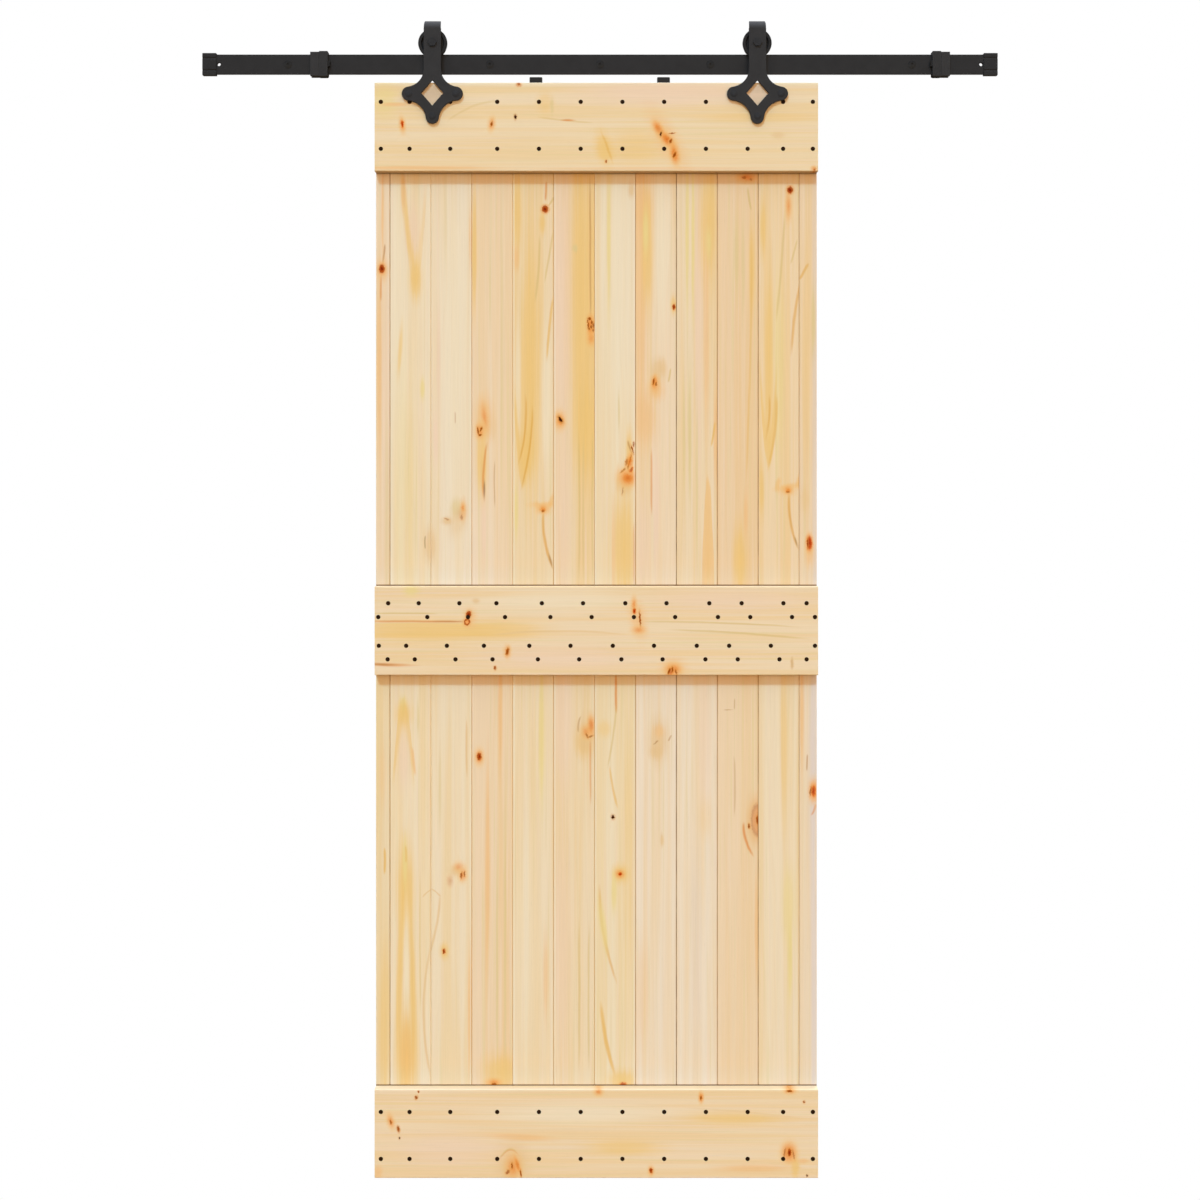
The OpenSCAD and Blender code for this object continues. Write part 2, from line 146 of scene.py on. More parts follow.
class Graph:
    """A material's node tree, written as expressions."""

    def __init__(self, name):
        self.mat = bpy.data.materials.new(name)
        self.mat.use_nodes = True
        self.nt = self.mat.node_tree
        self.nt.nodes.clear()
        self.out = self.nt.nodes.new("ShaderNodeOutputMaterial")
        self.bsdf = self.nt.nodes.new("ShaderNodeBsdfPrincipled")
        self.nt.links.new(self.bsdf.outputs[0], self.out.inputs["Surface"])
        self.coord = self.nt.nodes.new("ShaderNodeTexCoord").outputs["Object"]

    def put(self, socket, value):
        if isinstance(value, bpy.types.NodeSocket):
            self.nt.links.new(value, socket)
        else:
            socket.default_value = value

    def set(self, name, value):
        self.put(self.bsdf.inputs[name], value)

    def math(self, op, a, b=0.0, c=0.0, clamp=False):
        n = self.nt.nodes.new("ShaderNodeMath")
        n.operation = op
        n.use_clamp = clamp
        for socket, value in zip(n.inputs, (a, b, c)):
            self.put(socket, value)
        return n.outputs[0]

    def vec(self, op, a, b=(0, 0, 0)):
        n = self.nt.nodes.new("ShaderNodeVectorMath")
        n.operation = op
        self.put(n.inputs[0], a)
        if op == "SCALE":
            self.put(n.inputs["Scale"], b)
        else:
            self.put(n.inputs[1], b)
        return n.outputs["Value" if op in ("LENGTH", "DOT_PRODUCT", "DISTANCE") else "Vector"]

    def madd(self, a, b, c):
        n = self.nt.nodes.new("ShaderNodeVectorMath")
        n.operation = "MULTIPLY_ADD"
        self.put(n.inputs[0], a)
        self.put(n.inputs[1], b)
        self.put(n.inputs[2], c)
        return n.outputs["Vector"]

    def split(self, v):
        n = self.nt.nodes.new("ShaderNodeSeparateXYZ")
        self.put(n.inputs[0], v)
        return n.outputs

    def join(self, x, y, z):
        n = self.nt.nodes.new("ShaderNodeCombineXYZ")
        for s, v in zip(n.inputs, (x, y, z)):
            self.put(s, v)
        return n.outputs[0]

    def noise(self, v, scale=1.0, detail=2.0, rough=0.5, dims="3D", colour=False):
        n = self.nt.nodes.new("ShaderNodeTexNoise")
        n.noise_dimensions = dims
        self.put(n.inputs["W" if dims == "1D" else "Vector"], v)
        n.inputs["Scale"].default_value = scale
        n.inputs["Detail"].default_value = detail
        n.inputs["Roughness"].default_value = rough
        return n.outputs["Color" if colour else 0]

    def remap(self, x, a, b, c=0.0, d=1.0, kind="SMOOTHSTEP"):
        n = self.nt.nodes.new("ShaderNodeMapRange")
        n.interpolation_type = kind
        n.clamp = True
        for i, v in enumerate((x, a, b, c, d)):
            self.put(n.inputs[i], v)
        return n.outputs[0]

    def mix(self, fac, a, b, kind="MIX"):
        n = self.nt.nodes.new("ShaderNodeMix")
        n.data_type = "RGBA"
        n.blend_type = kind
        self.put(n.inputs[0], fac)
        self.put(n.inputs[6], a)
        self.put(n.inputs[7], b)
        return n.outputs[2]

    def ramp(self, fac, stops):
        """stops: (position, (r, g, b), alpha); gives the colour and the alpha."""
        n = self.nt.nodes.new("ShaderNodeValToRGB")
        self.put(n.inputs[0], fac)
        e = n.color_ramp.elements
        while len(e) < len(stops):
            e.new(1.0)
        for el, (pos, rgb, alpha) in zip(e, stops):
            el.position = pos
            el.color = (*lin(*rgb)[:3], alpha)
        return n.outputs[0], n.outputs[1]

    def placed(self, v, at, size, lean=0.0):
        """v seen from `at` in X and Z, turned by `lean` and divided by `size`."""
        n = self.nt.nodes.new("ShaderNodeMapping")
        n.vector_type = "TEXTURE"
        self.put(n.inputs["Vector"], v)
        n.inputs["Location"].default_value = (at[0], 0.0, at[1])
        n.inputs["Rotation"].default_value = (0.0, math.radians(lean), 0.0)
        n.inputs["Scale"].default_value = (size[0], 1e5, size[1])
        return n.outputs[0]

    def bump(self, height, strength, distance):
        n = self.nt.nodes.new("ShaderNodeBump")
        n.inputs["Strength"].default_value = strength
        n.inputs["Distance"].default_value = distance
        self.put(n.inputs["Height"], height)
        self.put(self.bsdf.inputs["Normal"], n.outputs[0])


# ---------------------------------------------------------------------------
# Pine. Growth rings are cylinders about a pith line that leans in depth, so
# the faces, edges and ends of a board show one piece of wood. Marks are laid
# over that, each given in the frame's pixels: tints, streaks that
# follow a curve, cathedral points, and knots, which also bend the rings.
# A ramp position of 0.5 is the edge of a mark's ellipse or half-width.
# ---------------------------------------------------------------------------
def tint_stops(rgb, alpha):
    return [(0.0, rgb, alpha), (0.40, rgb, alpha * 0.82), (0.68, rgb, alpha * 0.32), (1.0, rgb, 0.0)]


TINTS = {
    "amber": (236, 193, 116), "orange": (237, 188, 130), "pink": (237, 205, 176), "cream": (238, 219, 187),
    "yellow": (233, 208, 138), "olive": (222, 196, 138), "tan": (228, 190, 138), "grey": (226, 212, 194),
    "lilac": (220, 204, 198),
    "honey": (238, 184, 110), "shade": (205, 178, 150),
    "brown": (186, 122, 60), "rust": (220, 134, 54), "oliveline": (216, 182, 114), "amberline": (230, 180, 96),
    "goldline": (222, 160, 66),
    "umber": (140, 88, 40),
}
TINT_ALPHA = {"goldline": 0.75, "brown": 0.65, "rust": 0.78, "oliveline": 0.70, "amberline": 0.85, "umber": 0.75}

KNOTS = {
    # Tight dark knot with an orange rim
    "dark": [(0.0, (110, 26, 0), 1), (0.20, (150, 48, 2), 1), (0.34, (186, 84, 18), 1),
             (0.44, (158, 62, 6), 0.95), (0.54, (224, 134, 56), 0.8),
             (0.72, (234, 168, 96), 0.42), (1.0, (236, 194, 130), 0)],
    # Vivid red knot
    "red": [(0.0, (170, 44, 2), 1), (0.26, (192, 66, 8), 1), (0.42, (214, 100, 28), 0.95),
            (0.56, (236, 150, 70), 0.65), (0.78, (238, 184, 116), 0.28), (1.0, (237, 196, 136), 0)],
    # Knot with a dark rim and a paler heart
    "ring": [(0.0, (238, 176, 104), 0.9), (0.22, (230, 140, 64), 0.9), (0.35, (168, 68, 8), 1),
             (0.46, (190, 92, 24), 0.95), (0.58, (238, 174, 98), 0.6), (1.0, (238, 194, 130), 0)],
    # Orange flame or feather, and a stronger one
    "flame": [(0.0, (230, 128, 44), 0.85), (0.22, (234, 148, 64), 0.75), (0.48, (238, 174, 98), 0.5),
              (0.75, (238, 190, 122), 0.22), (1.0, (238, 198, 138), 0)],
    "blaze": [(0.0, (220, 110, 28), 0.95), (0.25, (231, 136, 50), 0.9), (0.50, (238, 166, 86), 0.62),
              (0.75, (238, 186, 116), 0.25), (1.0, (238, 196, 134), 0)],
    # Reddish-brown half knot, and a soft smear
    "brick": [(0.0, (208, 122, 62), 0.8), (0.3, (224, 150, 88), 0.7), (0.46, (194, 110, 54), 0.6),
              (0.58, (232, 174, 112), 0.45), (1.0, (236, 194, 140), 0)],
    "smear": [(0.0, (200, 120, 74), 0.75), (0.4, (214, 146, 98), 0.5), (0.8, (230, 182, 132), 0.2), (1.0, (236, 194, 144), 0)],
    # Small spots
    "spot": [(0.0, (140, 56, 0), 1), (0.38, (172, 86, 10), 0.95), (0.60, (226, 150, 68), 0.5), (1.0, (236, 188, 122), 0)],
    "black": [(0.0, (40, 12, 0), 1), (0.36, (76, 28, 0), 1), (0.52, (200, 130, 60), 0.5), (1.0, (234, 186, 120), 0)],
}


def curve(kind, a, b, c, half, strength=1.0):
    """A streak through three pixels, the middle one about half way along."""
    return ("curve", kind, a, b, c, half, strength)


def vee(kind, px, py, half, length, strength=1.0, core=0.30):
    """A cathedral point at (px, py), `half` wide after `length`: up if positive."""
    return ("vee", kind, px, py, half, length, strength, core)


def pine(name, along, plane, pith, depth, lean, origin, spacing, contrast, seed, up, low=None,
         spread=9.0, late=(230, 190, 126), marks=(), joints=(), painted_shading_above_battens=(), painted_shade_below_battens=()):
    """along: the grain's axis. pith: place of the pith line across the grain, in
    mm. depth: its Y at `origin` along the grain, from which it leans by `lean`.
    up, low: the wood's mean colour above and below the middle batten."""
    g = Graph("pine_" + name)
    p = g.vec("SCALE", g.coord, 1000.0)
    s = g.split(p)
    upright = along == "Z"
    wood = p if upright else g.join(s[2], s[1], s[0])
    u, w, v = s if upright else g.split(wood)
    at = (seed * 61.7, seed * 37.3, seed * 113.9)

    # Streaks drawn out along the grain, and a fine ragged noise
    broad = g.noise(g.madd(wood, (0.060, 0.060, 0.0011), at), detail=2, rough=0.5, colour=True)
    b1, b2, b3 = g.split(broad)
    stripe = g.noise(g.madd(wood, (0.24, 0.24, 0.0026), at), detail=1.5, rough=0.5, colour=True)
    s1, s2, s3 = g.split(stripe)
    fibre = g.noise(g.madd(wood, (0.75, 0.75, 0.009), at), detail=3, rough=0.62)
    ducts = g.remap(g.noise(g.madd(wood, (1.9, 1.9, 0.055), at), detail=1), 0.66, 0.80)
    ragged = g.noise(g.madd(p, (0.30, 0.30, 0.30), at), detail=2.0, rough=0.6, colour=True)

    # Marks sit in slightly warped copies of the object's own space.
    k = (0.055, 0.055, 0.018) if upright else (0.018, 0.055, 0.055)
    reach = (2.2, 0.0, 5.0) if upright else (5.0, 0.0, 2.2)
    warp = g.noise(g.madd(p, k, at), detail=2.5, rough=0.6, colour=True)
    soft = g.vec("ADD", p, g.vec("MULTIPLY", g.vec("SUBTRACT", warp, (0.5, 0.5, 0.5)), reach))
    soft_x, _, soft_z = g.split(soft)
    crisp = g.vec("ADD", p, g.vec("MULTIPLY", g.vec("SUBTRACT", ragged, (0.5, 0.5, 0.5)), (5.0, 0.0, 5.0)))
    feather = g.math("MULTIPLY", g.math("SUBTRACT", s3, 0.5), 0.55)

    def mm(px, py):
        return mm_x(px, plane), mm_z(py, plane)

    tints, knots, bend = [], [], None
    for mark in marks:
        if mark[0] == "curve":
            _, kind, a, b, c, half, strength = mark
            (ax, az), (bx, bz), (cx, cz) = mm(*a), mm(*b), mm(*c)
            if upright:
                run, across, ends, mids = soft_z, soft_x, (az, cz), (ax, bx, cx)
            else:
                run, across, ends, mids = soft_x, soft_z, (ax, cx), (az, bz, cz)
            mid, reach_ = (ends[0] + ends[1]) / 2, (ends[1] - ends[0]) / 2
            t = g.math("MULTIPLY_ADD", run, 1.0 / reach_, -mid / reach_)
            c1, c2 = (mids[2] - mids[0]) / 2, (mids[2] + mids[0]) / 2 - mids[1]
            path = g.math("MULTIPLY_ADD", g.math("MULTIPLY_ADD", t, c2, c1), t, mids[1])
            off = g.math("MULTIPLY", g.math("SUBTRACT", across, path), 0.5 / (half * MM_PER_PX))
            d = g.vec("LENGTH", g.join(off, g.math("MULTIPLY", g.math("POWER", g.math("ABSOLUTE", t), 3.0), 0.6), 0.0))
            tints.append((g.math("ADD", d, feather), tint_stops(TINTS[kind], TINT_ALPHA.get(kind, 0.85) * strength)))
            continue
        if mark[0] == "vee":
            _, kind, px, py, half, length, strength, core = mark
            q = g.split(g.placed(soft, mm(px, py), (half * MM_PER_PX, length * MM_PER_PX)))
            inside = g.math("SUBTRACT", q[2], g.math("MULTIPLY", q[0], q[0]))
            inside = g.math("ADD", inside, g.math("MULTIPLY", feather, 0.5))
            rgb = TINTS[kind]
            fade = g.remap(q[2], 0.75, 1.25, strength, 0.0)
            colour_, alpha = g.ramp(inside, [(0.0, rgb, 0), (0.07, rgb, 0.75), (core, rgb, 0.85),
                                             (core + 0.22, rgb, 0.18), (1.0, rgb, 0.05)])
            tints.append((colour_, g.math("MULTIPLY", alpha, fade)))
            continue
        kind, px, py, hw, hh, *rest = mark
        turn = rest[0] if rest else 0.0
        strength = rest[1] if len(rest) > 1 else 1.0
        half = (hw * MM_PER_PX, hh * MM_PER_PX)
        if kind in TINTS:
            d = g.vec("LENGTH", g.placed(soft, mm(px, py), (2 * half[0], 2 * half[1]), turn))
            tints.append((g.math("ADD", d, feather), tint_stops(TINTS[kind], TINT_ALPHA.get(kind, 0.85) * strength)))
        else:
            d = g.vec("LENGTH", g.placed(crisp, mm(px, py), (2 * half[0], 2 * half[1]), turn))
            knots.append((d, [(a, b, c * strength) for a, b, c in KNOTS[kind]]))
            if min(half) > 2.5:
                push = g.remap(d, 0.2, 2.2, 0.9, 0.0)
                bend = push if bend is None else g.math("ADD", bend, push)

    # Growth rings
    wander = g.noise(g.madd(wood, (0.012, 0.012, 0.0024), at), detail=2, rough=0.5, colour=True)
    wx, wy, _ = g.split(wander)
    du = g.math("ADD", g.math("SUBTRACT", u, pith), g.math("MULTIPLY", g.math("SUBTRACT", wx, 0.5), 46.0))
    dw = g.math("SUBTRACT", g.math("SUBTRACT", w, depth),
                g.math("MULTIPLY", g.math("SUBTRACT", v, origin), lean))
    dw = g.math("ADD", dw, g.math("MULTIPLY", g.math("SUBTRACT", wy, 0.5), 30.0))
    r = g.math("SQRT", g.math("ADD", g.math("MULTIPLY", du, du), g.math("MULTIPLY", dw, dw)))
    ring = g.math("DIVIDE", r, spacing)
    if bend is not None:
        ring = g.math("ADD", ring, bend)
    f = g.math("FRACT", ring)
    rise = g.math("MULTIPLY", g.remap(f, 0.20, 0.86), g.remap(f, 0.90, 1.0, 1.0, 0.0))
    strong = g.remap(g.noise(ring, scale=0.45, detail=1, dims="1D"), 0.34, 0.66, 0.15, 1.0)
    rings = g.math("MULTIPLY", rise, strong)

    # Colour: broad bands, thin stripes, marks, rings, fibres, knots
    def shifted(rgb, n):
        return lin(rgb[0] + 0.06 * n, rgb[1] + 0.40 * n, rgb[2] + n)

    bands = g.remap(b1, 0.36, 0.64)
    colour = g.mix(bands, shifted(up, spread), shifted(up, -spread))
    if low is not None:
        lower = g.mix(bands, shifted(low, spread), shifted(low, -spread))
        colour = g.mix(g.remap(v, -1120.0, -1060.0), lower, colour)
    colour = g.mix(g.remap(s1, 0.55, 0.74, 0.0, 0.42), colour, lin(226, 203, 148))
    colour = g.mix(g.remap(s2, 0.55, 0.74, 0.0, 0.45), colour, lin(237, 210, 182))
    for d, stops in tints:
        c, a = g.ramp(d, stops) if isinstance(stops, list) else (d, stops)
        colour = g.mix(a, colour, c)
    colour = g.mix(g.math("MULTIPLY", rings, g.remap(b3, 0.3, 0.7, contrast * 0.12, contrast * 0.40)), colour, lin(*late))
    shade = g.math("MULTIPLY", g.remap(fibre, 0.25, 0.75, 0.965, 1.03, "LINEAR"),
                   g.remap(ducts, 0.0, 1.0, 1.0, 0.92, "LINEAR"))
    colour = g.vec("SCALE", colour, shade)
    for d, stops in knots:
        c, a = g.ramp(d, stops)
        colour = g.mix(a, colour, c)

    # Joint lines between the boards: the dark ones partly grime and partly painted shade in the grooves, the pale ones
    # painted light over the grooves' shading, with a painted warm tint and a painted highlight on one arris. Where the
    # battens meet the boards: painted shade lines, and a painted cool tint above the battens.
    if joints:
        uneven = g.remap(g.noise(g.math("MULTIPLY", v, 0.016), detail=3, dims="1D"), 0.30, 0.66, 0.62, 1.0)
    for x, rgb, strength, side, shine in joints:
        off = g.math("SUBTRACT", u, x)
        reach = g.math("ABSOLUTE", off)
        # Joint line: dark colours are partly grime and partly painted shade in the groove, pale ones are painted light
        # over the groove's shading
        line = g.remap(reach, 0.50, 1.45, strength, 0.0)
        colour = g.mix(g.math("MULTIPLY", line, uneven), colour, lin(*rgb))
        # Painted warm tint in the groove, against the cool key light there
        colour = g.mix(g.remap(reach, 0.6, 1.9, 1.0, 0.0), colour, (1.02, 0.955, 0.85, 1.0), "MULTIPLY")
        # Painted highlight along one arris of the joint
        if side:
            out = g.math("MULTIPLY", off, float(side))
            rim = g.math("MULTIPLY", g.remap(out, 1.1, 1.9, 0.0, shine), g.remap(out, 2.3, 4.2, 1.0, 0.0))
            colour = g.mix(rim, colour, lin(240, 226, 200))
    if painted_shading_above_battens or painted_shade_below_battens:
        front = g.remap(w, -27.0, -24.0, 1.0, 0.0)
    for z in painted_shading_above_battens:
        # Painted cool tint above each batten, offsetting the warm light bounced off the batten's top
        cool = g.math("MULTIPLY", g.remap(v, z + 4.0, z + 48.0, 1.0, 0.0), g.remap(v, z + 2.2, z + 3.8))
        colour = g.mix(g.math("MULTIPLY", cool, front), colour, (0.935, 1.0, 1.07, 1.0), "MULTIPLY")
        # Painted shade line on the boards just above each batten's top
        line = g.math("MULTIPLY", g.remap(v, z + 1.3, z + 2.9, 0.93, 0.0), g.remap(v, z - 6.0, z - 4.0))
        colour = g.mix(g.math("MULTIPLY", line, front), colour, lin(96, 52, 6))
    for z, strength in painted_shade_below_battens:
        # Painted contact shadow on the boards just below each batten's underside
        line = g.math("MULTIPLY", g.remap(v, z - 3.8, z - 0.4, 0.0, strength), g.remap(v, z + 4.0, z + 6.0, 1.0, 0.0))
        colour = g.mix(g.math("MULTIPLY", line, front), colour, lin(84, 48, 18))

    g.set("Base Color", colour)
    g.set("Roughness", g.remap(g.math("ADD", fibre, g.math("MULTIPLY", rings, 0.25)), 0.3, 0.9, 0.66, 0.50, "LINEAR"))
    g.bsdf.inputs["Specular IOR Level"].default_value = 0.12
    height = g.math("MULTIPLY_ADD", ducts, -0.6, fibre)
    g.bump(height, 0.35, 0.00012)
    return g.mat


# Upright boards, left to right. Each: pith, depth, lean, origin, spacing, contrast.
BOARDS = [
    dict(pith=-470, depth=40, lean=0.010, origin=-900, spacing=6.5, contrast=0.30,
         up=(236, 208, 172), low=(234, 206, 160), marks=[
             ("orange", 379.5, 358, 2.0, 68), ("pink", 386, 440, 3, 110, 0, 0.6), ("olive", 387, 520, 2, 70, 0, 0.6),
             ("orange", 382.5, 212, 1.0, 34), ("orange", 382.5, 773, 3.0, 22, 0, 0.35), ("amber", 385, 1020, 4, 70, 0, 0.8),
             curve("amberline", (384.7, 849), (384.8, 861), (384.6, 873), 0.9),
             curve("rust", (381.4, 274), (381.0, 286), (380.8, 300), 0.7, 0.8),
             curve("brown", (384.8, 245), (384.0, 254), (382.6, 264), 0.7),
             ("orange", 382, 270, 5, 8), ("dark", 381.9, 268.8, 2.7, 4.2)]),
    dict(pith=-362, depth=60, lean=0.010, origin=400, spacing=7.5, contrast=0.24,
         up=(237, 213, 175), low=(237, 212, 172), marks=[
             ("cream", 398, 330, 6, 120), ("pink", 413, 232, 6, 22, 0, 0.9),
             vee("amber", 415, 293, 12, 100, 0.45), ("amber", 415.4, 279, 4.6, 15),
             curve("amber", (402.5, 176), (406, 215), (412, 262), 2.2, 0.75), ("orange", 403.7, 193, 1.8, 12),
             ("amber", 400, 351, 1.5, 18, 4, 0.8), ("yellow", 422.6, 389, 1.8, 8),              ("yellow", 404, 490, 8, 90, 0, 0.4),
             ("tan", 430, 545, 5, 12, 0, 0.9), curve("umber", (425.3, 536), (424.9, 542), (425.2, 548), 0.5, 0.7),
             vee("amber", 403.5, 698, 11, -78, 0.75), ("yellow", 403, 705, 2.8, 7), ("amber", 403.5, 714, 6, 9), ("pink", 404, 760, 4, 24, 0, 0.8),
             curve("orange", (412, 748), (413.5, 760), (415, 774), 1.0), ("olive", 418, 717, 0.8, 12, 0, 0.7),
             ("amber", 405.5, 888, 6.5, 32), ("amber", 400.5, 962, 2.6, 76, 2), ("amber", 412.5, 985, 2.9, 62, -2),
             ("cream", 406.5, 975, 2.4, 46, 0, 0.9), ("amber", 406.5, 1054, 7.5, 34), ("honey", 406.5, 1052, 5, 24, 0, 0.7),
             ("yellow", 405, 860, 1.8, 18), curve("amberline", (405.7, 846), (406, 853), (406, 862), 0.7, 0.7),
             curve("oliveline", (420.2, 878), (420, 940), (420.4, 1004), 0.6, 0.7),
             curve("tan", (423, 897), (427, 890.5), (433, 888.5), 0.9, 0.9),
             curve("tan", (430, 949), (423.6, 1005), (431, 1078), 1.0, 0.9)]),
    dict(pith=-150, depth=60, lean=0.012, origin=-900, spacing=7.0, contrast=0.24,
         up=(236, 213, 179), low=(236, 211, 172), marks=[
             ("cream", 455, 350, 10, 140), ("pink", 438.5, 360, 1.8, 45, 0, 0.8), ("pink", 436, 440, 2, 22),
             ("olive", 445.5, 217, 1.4, 38, 0, 0.4), ("orange", 470.8, 238, 1.6, 26), ("tan", 430, 545, 5, 12, 0, 0.9),
             curve("brown", (455, 412), (455.2, 417), (455.1, 423), 0.5, 0.7),
             ("tan", 458, 520, 7, 13, 20, 0.55), ("orange", 463, 510, 2.8, 8), ("olive", 456, 508, 4, 7, 0, 0.8),
             ("tan", 447, 521, 4, 3), curve("tan", (466.5, 722), (466.4, 748), (466.6, 774), 0.8),
             ("olive", 440, 790, 1.2, 30, 0, 0.6), ("tan", 456, 871, 4.5, 4.5), ("orange", 470, 1005, 1.6, 50),
             ("amber", 444, 951.3, 3.2, 6), curve("tan", (431, 888.6), (436, 890), (440, 896), 0.9, 0.9),
             curve("tan", (440, 896), (436.6, 922), (429, 954), 1.0, 0.9),
             ("smear", 461, 513, 4, 6, 20, 0.35), ("spot", 461.7, 517, 1.2, 2.4, 0, 0.5), ("flame", 462.8, 508, 1.8, 4, 0, 0.9), ("spot", 446.6, 519.2, 2.4, 0.8, 20, 0.5),
             ("flame", 459, 867, 5, 4.5, 0, 0.7), ("flame", 463, 875, 3.4, 6, 6), ("spot", 461.4, 875.5, 0.9, 3.4, 6, 0.9), ("spot", 464.6, 874, 0.8, 2.8, 0, 0.8), ("smear", 450, 881, 2.6, 4.5, 0, 0.7), ("dark", 444, 951.3, 1.4, 2.4)]),
    dict(pith=-40, depth=70, lean=0.008, origin=-600, spacing=5.5, contrast=0.26,
         up=(236, 208, 172), low=(235, 203, 161), marks=[
             ("amber", 474.6, 250, 1.8, 45), ("olive", 490, 291, 0.8, 30, 0, 0.6), ("olive", 502, 330, 1.2, 110, 0, 0.5),
             ("orange", 484, 420, 7, 16), ("amber", 481.5, 462, 4, 26), ("tan", 493, 428, 3, 9, 0, 0.4),
             curve("rust", (486.5, 446), (483.4, 466), (484, 498), 0.9, 0.85), ("umber", 484.4, 490, 0.7, 6),
             curve("brown", (494.6, 463), (494.4, 484), (494.7, 505), 0.5, 0.75), ("pink", 484, 530, 1.8, 22),
             ("orange", 500.3, 712, 1.8, 44), ("orange", 487.5, 870, 2.0, 72), ("olive", 497, 960, 1.0, 90, 0, 0.8),
             ("olive", 505, 930, 1.0, 120, 0, 0.8), ("amber", 500, 1072, 13, 14), ("flame", 484.5, 417, 3.2, 14, -8, 0.75),
             ("flame", 480, 431, 4, 7), ("spot", 478, 431, 1.0, 4.0, -8), ("spot", 481, 429.4, 0.9, 2.6, 20), ("spot", 480, 435, 1.6, 1.0), ("flame", 479.3, 757, 4, 7), ("dark", 479.2, 756.5, 2.1, 3.7),
             ("flame", 494, 1082.5, 7, 4), ("spot", 494, 1084, 2.6, 1.2, 0, 0.8)]),
    dict(pith=-100, depth=60, lean=0.010, origin=300, spacing=6.8, contrast=0.30,
         up=(235, 205, 159), low=(236, 210, 170), marks=[
             ("amber", 518, 212, 3.4, 32), ("orange", 516.5, 259, 2.2, 9), ("amber", 529, 370, 9, 90),
             ("cream", 518, 380, 2.2, 50, 0, 0.8), ("cream", 546, 400, 4, 55, 0, 0.9), ("amber", 527, 452, 7, 20),
             vee("amber", 523.5, 490, 11, 100, 0.9), curve("goldline", (525.6, 398), (525.2, 432), (519.6, 460), 0.8, 0.9),
             curve("goldline", (532.4, 410), (529.6, 448), (522, 486), 0.8, 0.9), ("yellow", 516, 512, 1.8, 20),
             curve("rust", (546.2, 182), (546, 190), (545.6, 200), 0.8), ("amber", 542.5, 223, 2.4, 9),
             curve("oliveline", (553.4, 197), (551.4, 201), (548.6, 206), 0.8),
             curve("oliveline", (539.8, 238), (538.6, 268), (535.8, 298), 0.9, 0.9),
             curve("oliveline", (552.5, 234), (549, 258), (545, 280), 0.8, 0.8),
             curve("amberline", (552.5, 300), (549.2, 328), (546.8, 358), 0.9, 0.9),
             ("honey", 543, 505, 9.5, 2.6, 0, 0.85), ("honey", 551.6, 501, 1.8, 6, 18, 0.8), ("orange", 543, 510, 6, 4),
             curve("goldline", (543.2, 513), (544.6, 534), (551.8, 566), 1.1), ("umber", 550.6, 561, 0.8, 4.6, -16, 0.7),
             ("yellow", 541.5, 735, 2.2, 55), ("orange", 545.6, 978, 2.0, 30, 0, 0.7), ("cream", 526, 960, 8, 100, 0, 0.6),
             ("dark", 545.1, 209.2, 3.1, 3.4), ("flame", 543, 508.4, 4.0, 3.4), ("blaze", 543, 510, 2.6, 2.2, 0, 0.8), ("spot", 543, 511, 1.7, 1.0, 0, 0.75)]),
    dict(pith=-160, depth=50, lean=0.010, origin=-700, spacing=6.0, contrast=0.28,
         up=(235, 204, 158), low=(235, 207, 164), marks=[
             ("pink", 562, 300, 8, 120), ("pink", 563, 520, 6, 60, 0, 0.7), ("amber", 583.5, 300, 10, 130),
             ("amber", 585.5, 430, 8, 36), ("olive", 575, 248, 2, 3), ("pink", 563, 720, 7, 60, 0, 0.8),
             ("pink", 562, 950, 6, 90, 0, 0.7), curve("brown", (590, 185), (590.2, 250), (590.4, 318), 0.7, 0.85),
             curve("oliveline", (579, 440), (579.4, 510), (579, 577), 0.8, 0.8),
             curve("oliveline", (583.4, 440), (583, 510), (583.2, 577), 0.7, 0.7),
             curve("oliveline", (592.8, 440), (592.4, 510), (592.8, 577), 0.7, 0.7),
             ("amber", 584, 742, 6, 10), ("tan", 587, 738, 8, 15), curve("brown", (580.4, 717), (578.4, 724), (578.2, 732), 0.7, 0.8),
             curve("rust", (590.3, 742), (590.5, 772), (590.6, 802), 0.7, 0.7),
             curve("oliveline", (579, 928), (579.4, 995), (579, 1062), 0.9, 0.8),
             curve("oliveline", (589, 928), (588.6, 995), (589, 1062), 0.9, 0.8),
             ("flame", 591, 338, 4, 7), ("blaze", 590.6, 325, 3.6, 9), ("spot", 589.2, 318.8, 2.0, 1.3), ("spot", 587.6, 321.4, 0.9, 1.8),
             ("spot", 588.3, 325.6, 0.8, 3.6), ("spot", 592.0, 322.6, 1.0, 2.4), ("spot", 591.2, 326.8, 0.9, 1.6), ("spot", 593.4, 325.5, 0.8, 3.2, 0, 0.8),
             ("spot", 593.2, 330.4, 0.8, 2.0, 0, 0.8), ("spot", 589.2, 328.8, 0.9, 1.3),
             ("flame", 559.8, 420.5, 5, 8), ("blaze", 560.2, 420, 3.0, 5.0, -20), ("black", 560.5, 419.5, 1.5, 3.6, -32),
             ("blaze", 591, 726, 3.2, 9, 0, 0.9), ("flame", 586, 732, 4, 6, 0, 0.8), ("spot", 587, 735.8, 1.0, 2.6, -20, 0.7), ("spot", 590.6, 736.4, 2.8, 0.9, -18, 0.7)]),
    dict(pith=120, depth=55, lean=0.010, origin=-500, spacing=7.5, contrast=0.24,
         up=(236, 212, 174), low=(236, 212, 172), marks=[
             ("cream", 618, 300, 10, 120), ("yellow", 609, 240, 1.6, 60), ("tan", 631.6, 190, 2.8, 6),
             ("olive", 619, 412, 0.8, 13, 0, 0.8), ("orange", 627, 478, 8.5, 9), ("amber", 629.5, 451, 2.4, 16),
